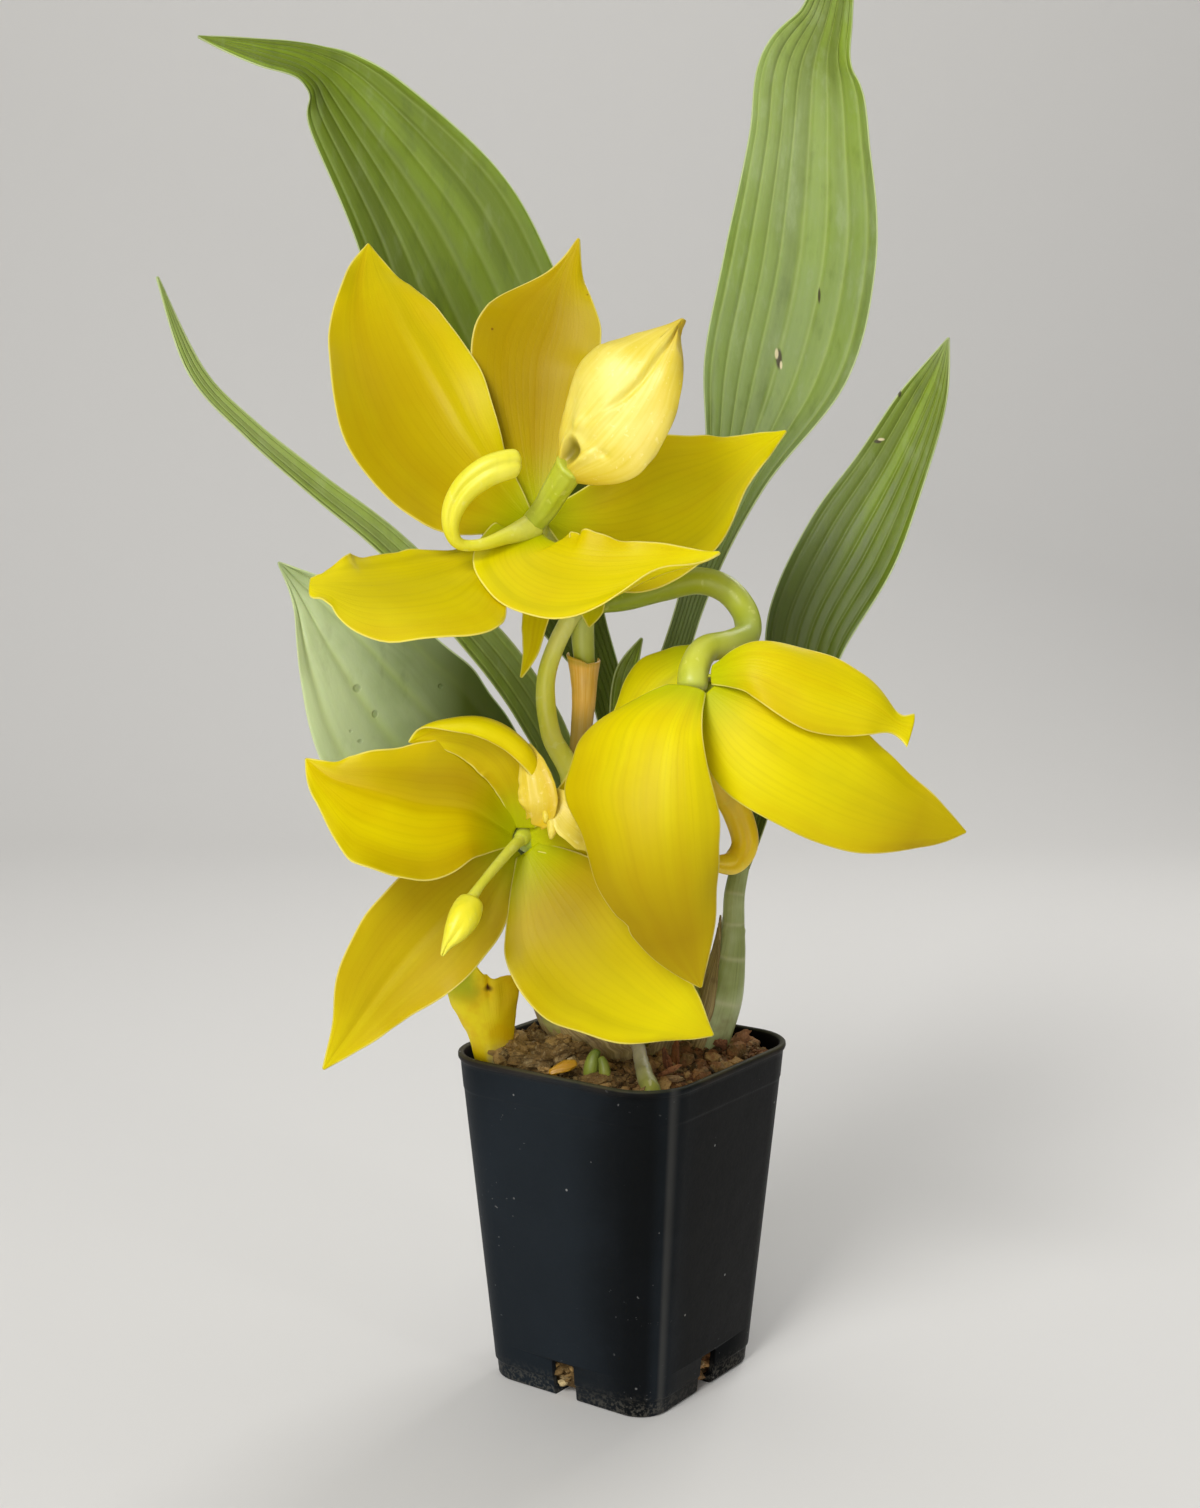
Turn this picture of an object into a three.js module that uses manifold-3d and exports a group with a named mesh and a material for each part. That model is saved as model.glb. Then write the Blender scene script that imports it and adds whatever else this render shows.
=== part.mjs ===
// A swan orchid in its square plastic pot: three yellow blooms on one short spike,
// two swollen stems, seven leaves, roots and bark mix. Millimetres, +Z up.
// The origin is the middle of the pot's underside. The blooms face -Y.

import * as THREE from 'three';
import { mergeVertices } from 'three/addons/utils/BufferGeometryUtils.js';
import Module from 'manifold-3d';

const wasm = await Module();
wasm.setup();

// Driving dimensions
const seatGap = 0.35;             // clearance between pieces that touch on the real plant
const tepalThickness = 1.0;
const leafThickness = 0.9;
const sheathThickness = 0.8;
const rimThinning = 0.65;         // a blade's edge against its middle
const cornerGrowth = 1.25;        // keeps the clearance at corners
const grooveDepth = 0.22;         // the lip's groove, as a share of its depth there
const grooveHalf = 0.35;          // its half-width in radians

const potHeight = 101;
const potTopHalf = 39.6;
const potBottomHalf = 29.6;
const potTopCorner = 16;
const potBottomCorner = 9;
const potWall = 1.3;
const potFloor = 2;
const potTurn = THREE.MathUtils.degToRad(54.6);
const rimBand = 1.6;              // height of the bead round the mouth
const rimProud = 0.6;
const ledgeDrop = 11;             // stacking ledge, down from the mouth
const footBand = 5;               // plain band round the foot
const ledgeStep = 0.5;
const notchWidth = 8;
const notchHeight = 11;
const notchDepth = 9;

const mixLevel = 95.5;            // mean height of the bark mix
const mixCrown = 6.5;             // it is mounded round the stems
const mixLumps = 2;               // how far its surface goes up and down
const chunkCount = 22;            // larger chunks lying on it
const chunkReach = 46;            // the furthest chunk from the middle
const chunkSmallest = 2.6;        // half-length
const chunkLargest = 5.2;
const goldenAngle = 2.4;          // spreads the chunks evenly

// Colours and finish of each kind of piece
const finish = (color, roughness) => new THREE.MeshStandardMaterial({ color, roughness, metalness: 0 });
const potPlastic = finish(0x25292f, 0.45);
const bark = finish(0x8a6238, 0.95);
const petal = finish(0xe6c800, 0.5);
const cream = finish(0xf6ea78, 0.45);
const freshGreen = finish(0xb4bf2a, 0.5);
const leafGreen = finish(0x6f8f45, 0.55);
const bulbGreen = finish(0x7f8c46, 0.6);
const drySheath = finish(0x8f765c, 0.85);
const orangeSheath = finish(0xc99a3c, 0.7);
const stubYellow = finish(0xd9b40c, 0.6);
const rootWhite = finish(0xc9c9a0, 0.8);

// Same numbers every time, for the lumps in the bark mix
function seeded(seed) {
  let state = seed;
  return () => {
    state = (state * 1664525 + 1013904223) % 4294967296;
    return state / 4294967296;
  };
}

// Smooth curve through rows of numbers: t is 0 at the first row and 1 at the last
function rowAt(rows, t) {
  const last = rows.length - 1;
  const place = Math.min(Math.max(t * last, 0), last - 1e-9);
  const i = Math.floor(place);
  const f = place - i;
  const before = rows[Math.max(i - 1, 0)];
  const from = rows[i];
  const to = rows[i + 1];
  const after = rows[Math.min(i + 2, last)];
  return from.map((b, k) => {
    const a = before[k];
    const c = to[k];
    const d = after[k];
    const cubic = 3 * b - a - 3 * c + d;
    const square = 2 * a - 5 * b + 4 * c - d;
    return 0.5 * (2 * b + (c - a) * f + square * f * f + cubic * f * f * f);
  });
}

const point = (row) => new THREE.Vector3(row[0], row[1], row[2]);

// Direction of travel along rows whose first three numbers are a place
function headingAt(rows, t) {
  const step = 0.01;
  const ahead = point(rowAt(rows, Math.min(t + step, 1)));
  return ahead.sub(point(rowAt(rows, Math.max(t - step, 0)))).normalize();
}

function geometryFrom(positions, index) {
  const geometry = new THREE.BufferGeometry();
  geometry.setAttribute('position', new THREE.Float32BufferAttribute(positions, 3));
  geometry.setIndex(index);
  return geometry;
}

// A thin closed blade: leaf, tepal or sheath.
// rows: x, y, z of the midrib, left and right half-width, left and right cupping in degrees.
// face: the way its inner side looks, one vector for the whole blade or several from base to tip.
// Left and right are as seen from that side, looking from the base to the tip.
function bladeGeometry(spec, grow = 0) {
  const { rows, face, thickness = tepalThickness, along = 11, across = 6 } = spec;
  const { wave = 0, waves = 3, fold = 0, end = () => 1 } = spec;
  const faces = Array.isArray(face[0]) ? face : [face, face];
  const grid = [];
  for (let i = 0; i <= along; i += 1) {
    const line = [];
    for (let j = 0; j <= across; j += 1) {
      const v = (2 * j) / across - 1;
      const t = (i / along) * end(v);
      const row = rowAt(rows, t);
      const heading = headingAt(rows, t);
      const side = new THREE.Vector3().crossVectors(heading, point(rowAt(faces, t))).normalize();
      const up = new THREE.Vector3().crossVectors(side, heading);
      const width = Math.max(v < 0 ? row[3] : row[4], 0.4);
      const bend = THREE.MathUtils.degToRad(v < 0 ? row[5] : row[6]) || 1e-4;
      const turn = bend * Math.abs(v);
      const out = (width * Math.sin(turn)) / bend;
      const ripple = wave * Math.abs(v) ** 3 * Math.sin(2 * Math.PI * waves * t + 1.5 * v);
      const cup = (width * (1 - Math.cos(turn))) / bend;
      const rise = cup + fold * Math.abs(v) * width + ripple * Math.min(1, width / 8);
      line.push(point(row).addScaledVector(side, Math.sign(v) * out).addScaledVector(up, rise));
    }
    grid.push(line);
  }
  const count = (along + 1) * (across + 1);
  const at = (i, j) => i * (across + 1) + j;
  const edge = [];
  for (let j = 0; j < across; j += 1) edge.push(at(0, j));
  for (let i = 0; i < along; i += 1) edge.push(at(i, across));
  for (let j = across; j > 0; j -= 1) edge.push(at(along, j));
  for (let i = along; i > 0; i -= 1) edge.push(at(i, 0));
  const middle = grid.flat();
  const normals = middle.map((p, n) => {
    const i = Math.floor(n / (across + 1));
    const j = n % (across + 1);
    const ahead = grid[Math.min(i + 1, along)][j].clone().sub(grid[Math.max(i - 1, 0)][j]);
    const beside = grid[i][Math.min(j + 1, across)].clone().sub(grid[i][Math.max(j - 1, 0)]);
    return beside.cross(ahead).normalize();
  });
  const shifts = edge.map((n, k) => {
    const next = middle[edge[(k + 1) % edge.length]];
    const previous = middle[edge[(k + edge.length - 1) % edge.length]];
    return next.clone().sub(previous).cross(normals[n]).normalize().multiplyScalar(cornerGrowth * grow);
  });
  edge.forEach((n, k) => middle[n].add(shifts[k]));
  const front = [];
  const back = [];
  middle.forEach((p, n) => {
    const j = n % (across + 1);
    const rim = j === 0 || j === across ? rimThinning : 1;
    const offset = (thickness / 2) * rim + grow;
    front.push(...p.clone().addScaledVector(normals[n], offset).toArray());
    back.push(...p.clone().addScaledVector(normals[n], -offset).toArray());
  });
  const index = [];
  for (let i = 0; i < along; i += 1) {
    for (let j = 0; j < across; j += 1) {
      const [a, b, c, d] = [at(i, j), at(i + 1, j), at(i + 1, j + 1), at(i, j + 1)];
      index.push(a, d, c, a, c, b);
      index.push(a + count, c + count, d + count, a + count, b + count, c + count);
    }
  }
  edge.forEach((a, k) => {
    const b = edge[(k + 1) % edge.length];
    index.push(a, a + count, b + count, a, b + count, b);
  });
  return geometryFrom([...front, ...back], index);
}

// A closed limb: stem, root, column or lip.
// rows: x, y, z of its core, half-width and half-depth.
// face: the way its depth looks at the start; shape: a factor on the section's radius.
function limbGeometry(spec, grow = 0) {
  const { rows, face = [0, -1, 0], along = 14, sides = 8, shape = () => 1 } = spec;
  const positions = [];
  let normal = new THREE.Vector3(...face);
  const ends = [];
  for (let i = 0; i <= along; i += 1) {
    const t = i / along;
    const row = rowAt(rows, t);
    const heading = headingAt(rows, t);
    normal = normal.addScaledVector(heading, -normal.dot(heading)).normalize();
    const side = new THREE.Vector3().crossVectors(heading, normal);
    const core = point(row);
    if (i === 0 || i === along) ends.push(core);
    for (let k = 0; k < sides; k += 1) {
      const angle = (2 * Math.PI * k) / sides;
      const factor = shape(angle, t);
      const wide = Math.max(row[3], 0.3) * factor * Math.cos(angle);
      const deep = Math.max(row[4], 0.3) * factor * Math.sin(angle);
      positions.push(...core.clone().addScaledVector(side, wide).addScaledVector(normal, deep).toArray());
    }
  }
  const index = [];
  for (let i = 0; i < along; i += 1) {
    for (let k = 0; k < sides; k += 1) {
      const next = (k + 1) % sides;
      const [a, b] = [i * sides + k, i * sides + next];
      index.push(a, a + sides, b + sides, a, b + sides, b);
    }
  }
  const first = positions.length / 3;
  positions.push(...ends[0].toArray(), ...ends[1].toArray());
  for (let k = 0; k < sides; k += 1) {
    const next = (k + 1) % sides;
    index.push(first, k, next);
    index.push(first + 1, along * sides + next, along * sides + k);
  }
  const geometry = geometryFrom(positions, index);
  if (grow > 0) {
    geometry.computeVertexNormals();
    const out = geometry.attributes.normal;
    const at = geometry.attributes.position;
    for (let n = 0; n < at.count; n += 1) {
      const place = new THREE.Vector3().fromBufferAttribute(at, n);
      const shift = new THREE.Vector3().fromBufferAttribute(out, n);
      place.addScaledVector(shift, cornerGrowth * grow);
      at.setXYZ(n, place.x, place.y, place.z);
    }
  }
  return geometry;
}

// A closed stack of rounded squares. levels: height, half-width and corner radius.
function squareStack(levels, cornerSteps = 7) {
  const positions = [];
  const sides = 4 * (cornerSteps + 1);
  for (const [z, half, corner] of levels) {
    for (let q = 0; q < 4; q += 1) {
      for (let s = 0; s <= cornerSteps; s += 1) {
        const angle = (Math.PI / 2) * (q + s / cornerSteps);
        const cx = (half - corner) * (q === 0 || q === 3 ? 1 : -1);
        const cy = (half - corner) * (q < 2 ? 1 : -1);
        const x = cx + corner * Math.cos(angle);
        const y = cy + corner * Math.sin(angle);
        positions.push(...turned(x, y), z);
      }
    }
  }
  const index = [];
  const top = levels.length - 1;
  for (let i = 0; i < top; i += 1) {
    for (let k = 0; k < sides; k += 1) {
      const next = (k + 1) % sides;
      const [a, b] = [i * sides + k, i * sides + next];
      index.push(a, b, b + sides, a, b + sides, a + sides);
    }
  }
  const first = positions.length / 3;
  positions.push(0, 0, levels[0][0], 0, 0, levels[top][0]);
  for (let k = 0; k < sides; k += 1) {
    const next = (k + 1) % sides;
    index.push(first, next, k);
    index.push(first + 1, top * sides + k, top * sides + next);
  }
  return geometryFrom(positions, index);
}

// The pot's half-width and corner radius at a height
const potHalfAt = (z) => potBottomHalf + ((potTopHalf - potBottomHalf) * z) / potHeight;
const potCornerAt = (z) => potBottomCorner + ((potTopCorner - potBottomCorner) * z) / potHeight;

// A place in the pot's own square, turned to where the pot faces
function turned(x, y) {
  const [c, s] = [Math.cos(potTurn), Math.sin(potTurn)];
  return [c * x - s * y, s * x + c * y];
}

function solidOf(geometry) {
  const bare = geometry.index ? geometry.clone() : geometry;
  bare.deleteAttribute('normal');
  bare.deleteAttribute('uv');
  const merged = mergeVertices(bare, 1e-4);
  const mesh = new wasm.Mesh({
    numProp: 3,
    vertProperties: new Float32Array(merged.attributes.position.array),
    triVerts: new Uint32Array(merged.index.array),
  });
  return new wasm.Manifold(mesh);
}

function geometryOf(solid) {
  const mesh = solid.getMesh();
  return geometryFrom(mesh.vertProperties, new THREE.BufferAttribute(mesh.triVerts, 1));
}

// What is left of a piece when its neighbours, each grown by the gap, are cut away
function clearOf(solid, neighbours) {
  let rest = solid;
  for (const neighbour of neighbours) rest = rest.subtract(neighbour);
  const bodies = rest.decompose();
  return bodies.reduce((most, body) => (body.volume() > most.volume() ? body : most));
}

const plant = new THREE.Group();

function add(name, solid, material) {
  const mesh = new THREE.Mesh(geometryOf(solid), material);
  mesh.name = name;
  plant.add(mesh);
}

const blade = (spec) => solidOf(bladeGeometry(spec));
const bladeRoom = (spec) => solidOf(bladeGeometry(spec, seatGap));
const limb = (spec) => solidOf(limbGeometry(spec));
const limbRoom = (spec) => solidOf(limbGeometry(spec, seatGap));

// Pot
function buildPot() {
  const level = (z, proud) => [z, potHalfAt(z) + proud, potCornerAt(z) + proud];
  const ledge = potHeight - ledgeDrop;
  const outside = squareStack([
    level(0, 0),
    level(footBand, 0),
    level(footBand + ledgeStep, ledgeStep),
    level(ledge, 0),
    level(ledge + ledgeStep, ledgeStep),
    level(potHeight - rimBand - rimProud, 0),
    level(potHeight - rimBand, rimProud),
    level(potHeight, rimProud),
  ]);
  const inside = squareStack([
    level(potFloor, -potWall),
    level(potHeight + 1, -potWall),
  ]);
  let pot = solidOf(outside).subtract(solidOf(inside));
  for (let q = 0; q < 4; q += 1) {
    const notch = new THREE.BoxGeometry(2 * notchDepth, notchWidth, 2 * notchHeight);
    notch.translate(potBottomHalf, 0, 0);
    notch.rotateZ(potTurn + (q * Math.PI) / 2);
    pot = pot.subtract(solidOf(notch));
  }
  return pot;
}
add('pot', buildPot(), potPlastic);

// Swollen stems, each a fat spindle ringed where old leaves came away
const mainBulb = {
  rows: [
    [0, 0, 84, 11, 10], [0, 0, 96, 15.5, 14.5], [-1, 0, 106, 21, 18.5], [-2, 0, 116, 24.5, 20],
    [-2, 1, 128, 22.5, 18.5], [-2, 2, 141, 16, 15], [-2, 2, 152, 11.5, 11],
    [-1, 3, 162, 8.5, 8.5], [1, 4, 172, 6, 6],
  ],
  along: 16,
  sides: 14,
  shape: (angle, t) => 1 + 0.035 * Math.cos(12 * Math.PI * t) + 0.02 * Math.cos(5 * angle),
};
const sideGrowth = {
  rows: [
    [23, 2, 86, 5, 5], [24.5, 2, 100, 7, 7], [29, 3, 115, 7, 6.5], [32, 3, 128, 4.7, 4.5],
    [33, 3, 138, 3.3, 3.3], [33.5, 4, 147, 3, 3], [36, 6, 158, 2.6, 2.6],
  ],
  along: 12,
  sides: 10,
};

// Leaves, from where they clasp the stem to the tip
const leaves = {
  leaf_tall_left: {
    rows: [
      [1, 9, 164, 5, 5, 60, 60], [-3, 11, 207, 7, 7, 50, 50], [-14, 11, 240, 15, 15, 25, 25],
      [-28, 12, 278, 25, 24, 18, 18], [-45, 10, 316, 27, 29, 14, 18], [-60, 6, 345, 20, 27, 10, 25],
      [-79, 0, 374, 13, 16, 15, 30], [-88, -5, 384, 7, 8, 20, 30], [-101, -10, 388, 6, 4, 10, 20],
      [-118, -14, 391, 0.4, 0.4, 0, 0],
    ],
    face: [[0.1, -0.9, 0.3], [0.1, -0.95, 0.2], [0.1, -0.8, 0.5]],
    wave: 1.2, waves: 3, along: 16,
  },
  leaf_narrow_left: {
    rows: [
      [-8, 1, 160, 5, 5, 55, 55], [-16, -1, 178, 6, 6, 50, 50], [-24, -3, 197, 7, 7, 45, 45],
      [-36, -7, 216, 7, 7, 40, 40], [-52, -11, 235, 6, 6, 35, 35], [-68, -15, 252, 5, 5, 35, 35],
      [-86, -20, 267, 4, 4, 30, 30], [-104, -26, 283, 3.2, 3.2, 30, 30],
      [-118, -30, 299, 2.6, 2.6, 20, 20], [-127, -34, 324, 0.4, 0.4, 0, 0],
    ],
    face: [[0.3, -0.9, 0.3], [0.3, -0.8, 0.5]],
    wave: 0.5, along: 15, across: 4,
  },
  leaf_low_left: {
    rows: [
      [-11, -2, 146, 5, 5, 60, 60], [-31, -5, 168, 14, 14, 30, 30], [-50, -8, 187, 25, 22, 20, 25],
      [-65, -10, 203, 29, 23, 15, 25], [-80, -12, 222, 17.5, 18, 10, 20],
      [-91.5, -12, 236, 4.5, 8.5, 5, 10],
      [-99, -12, 246, 0.4, 0.4, 0, 0],
    ],
    face: [[0.3, -0.9, 0.3], [0.1, -0.95, 0.3]],
    wave: 1.5, waves: 2, along: 12,
  },
  leaf_tall_right: {
    rows: [
      [5, 8, 164, 5, 5, 70, 70], [11, 12, 200, 5.5, 5.5, 60, 60], [20, 16, 234, 6, 6, 50, 50],
      [32, 20, 269, 11, 11, 30, 35], [42, 24, 302, 18, 27, 15, 35], [49, 26, 335, 19, 29, 12, 45],
      [52, 24, 369, 15, 23, 12, 45], [53.5, 20, 389, 14, 16.5, 10, 35], [57.5, 13, 402, 7, 9, 8, 20],
      [60.5, 7, 414, 5, 5.4, 8, 20],
      [64, 2, 426, 0.4, 0.4, 0, 0],
    ],
    face: [[-0.2, -0.95, 0], [-0.1, -0.95, 0.1], [0, -0.9, 0.3]],
    wave: 1.2, waves: 3, along: 16,
  },
  leaf_right: {
    rows: [
      [36, 7, 154, 3.6, 3.6, 80, 80], [40, 9, 166, 4, 4, 70, 70], [47, 11, 185, 6.5, 6.5, 50, 50],
      [52, 14, 207, 10, 10, 35, 35], [58, 17, 228, 14, 13, 20, 22], [70, 20, 250, 16, 14, 12, 18],
      [82, 22, 272, 12.5, 10, 12, 18], [92, 20, 295, 8, 5, 12, 12], [96, 16, 311, 0.4, 0.4, 0, 0],
    ],
    face: [[-0.3, -0.9, 0.2], [-0.2, -0.95, 0.2]],
    wave: 0.9, waves: 3, along: 15,
  },
  leaf_hidden: {
    rows: [
      [5, 0, 163, 3, 3, 60, 60], [17, 0, 170, 4, 4, 50, 50], [28, 4, 180, 5, 5, 35, 35],
      [34, 6, 192, 5, 5, 25, 25], [39, 8, 206, 0.4, 0.4, 0, 0],
    ],
    face: [-0.5, -0.85, 0.2],
    along: 8, across: 4,
  },
  leaf_young: {
    rows: [
      [-1, -1, 168, 2.5, 2.5, 60, 60], [-2, -5, 188, 3, 3, 50, 50], [-1, -6, 203, 3.6, 3.6, 40, 40],
      [1, -7, 214, 2.8, 2.8, 30, 30], [5, -9, 224, 0.4, 0.4, 0, 0],
    ],
    face: [0.1, -1, 0.1],
    along: 9, across: 4,
  },
};

// Dry sheaths that cling to the stems, and bracts on the flowering stem
const drySheaths = {
  sheath_left: {
    rows: [
      [-4, -19, 97, 9, 9, -20, -20], [-14, -19, 104, 8, 9, -20, -20],
      [-22, -17, 112, 5, 6, -15, -15],
      [-28, -15, 120, 0.4, 0.4, 0, 0],
    ],
    face: [-0.5, -0.8, 0.4],
  },
  sheath_front: {
    rows: [
      [14, -15, 94, 7, 7, -20, -20], [13, -17, 103, 9, 9, -20, -20], [10, -20, 112, 7, 7, -20, -20],
      [7, -21, 120, 0.4, 0.4, 0, 0],
    ],
    face: [0.5, -0.85, 0.1],
  },
  sheath_side: {
    rows: [
      [20, -4, 97, 5, 5, -30, -30], [23, -5, 110, 5, 5, -35, -35], [25, -3, 124, 4, 4, -35, -35],
      [28.5, -1, 137, 0.5, 0.5, 0, 0],
    ],
    face: [-0.6, -0.8, 0.1],
  },
};
const leafStub = {
  rows: [
    [-38, -13, 92, 5.5, 5.5, -60, -60], [-39, -14, 106, 8, 8, -60, -60],
    [-40.5, -16, 118, 12, 11, -50, -50], [-41.5, -18, 130, 11.5, 11, -35, -45],
  ],
  face: [0, -0.97, 0.2],
  end: (v) => 0.82 + 0.16 * Math.exp(-(((v + 0.25) / 0.3) ** 2)),
  along: 6, across: 8,
};
const bracts = {
  bract_dry: {
    rows: [
      [-13.2, -24.6, 192, 7.2, 7.2, -130, -130], [-12.4, -25.2, 202, 8.2, 8.2, -130, -130],
      [-11.4, -26.2, 212, 9.8, 9.8, -130, -130], [-11.2, -27, 220, 10.4, 10.4, -115, -115],
    ],
    face: [0, -1, 0],
    end: (v) => 0.97 - 0.03 * Math.cos(4 * v),
    along: 5, across: 8,
  },
  bract_small: {
    rows: [
      [-11, -25, 238, 3, 3, 30, 30], [-9.5, -28, 234, 4, 4, 30, 30],
      [-10, -30, 229, 0.4, 0.4, 0, 0],
    ],
    face: [0, -0.9, 0.4],
    along: 5, across: 4,
  },
  bract_yellow: {
    rows: [
      [-14, -24, 238, 4, 4, 20, 20], [-21, -27, 232, 5, 5.5, 20, 20],
      [-25.4, -30, 225, 3.6, 4, 15, 15],
      [-28.6, -33, 215.5, 0.4, 0.4, 0, 0],
    ],
    face: [-0.2, -0.9, 0.4],
    along: 7, across: 4,
  },
};

// A thick root that breaks the surface, and two new shoots
const root = {
  rows: [
    [4, -16, 108, 2.2, 2.2], [6, -26, 107, 2.3, 2.3], [7, -34, 103, 2.2, 2.2],
    [8.5, -41, 98, 2.1, 2.1], [9, -44, 92, 2, 2],
  ],
  along: 10,
  sides: 8,
};
const shoots = [
  {
    rows: [
      [-8.7, -31, 91, 2.2, 2.2], [-8.6, -31.4, 101, 2.5, 2.5], [-8.3, -31, 105.5, 2.3, 2.3],
      [-8, -31, 108.2, 0.5, 0.5],
    ],
    along: 6,
  },
  {
    rows: [
      [-6.6, -34, 91, 1.5, 1.5], [-6.5, -34, 101, 1.7, 1.7], [-6.3, -34, 105, 1.5, 1.5],
      [-6.1, -34, 107.2, 0.4, 0.4],
    ],
    along: 6,
  },
];

// The flowering stem: one peduncle, then a stalk to each bloom
const peduncle = {
  rows: [
    [-4.5, -4, 150, 3.6, 3.6], [-9, -13, 160, 3.4, 3.4], [-13.6, -20, 177, 2.8, 2.8],
    [-12.4, -21.2, 197, 2.3, 2.3],
    [-10, -22, 218, 2.8, 2.8], [-10, -22, 230, 2.8, 2.8], [-10, -22, 237, 2.4, 2.4],
  ],
  along: 9,
};
const stalkTop = {
  rows: [
    [-10, -22, 233, 2.6, 2.6], [-8, -17, 242, 2.8, 2.8], [-14, -18, 251, 3, 3],
    [-22, -28, 255, 3.3, 3.3], [-25, -40, 257, 4.2, 4.2],
  ],
  along: 10,
};
const stalkLow = {
  rows: [
    [-10, -22, 235, 2.4, 2.4], [-16, -25, 230, 2.5, 2.5], [-22, -26, 215, 2.6, 2.6],
    [-21, -28, 199, 2.9, 2.9], [-15, -28, 186, 3.3, 3.3], [-18, -30, 174, 3.6, 3.6],
    [-28.8, -44.5, 170.5, 4.2, 4.2],
  ],
  along: 14,
};
const stalkRight = {
  rows: [
    [-10, -22, 235, 2.4, 2.4], [4, -20.6, 237, 3.3, 3.3],
    [16, -19.6, 240.6, 3.8, 3.8], [27, -20.2, 239.8, 3.8, 3.8],
    [33.6, -25, 232, 3.7, 3.7], [31.6, -34.5, 225.6, 3.7, 3.7],
    [21.6, -43.6, 223.6, 3.8, 3.8], [18.6, -52, 215, 4.3, 4.3],
  ],
  along: 16,
};

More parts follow.
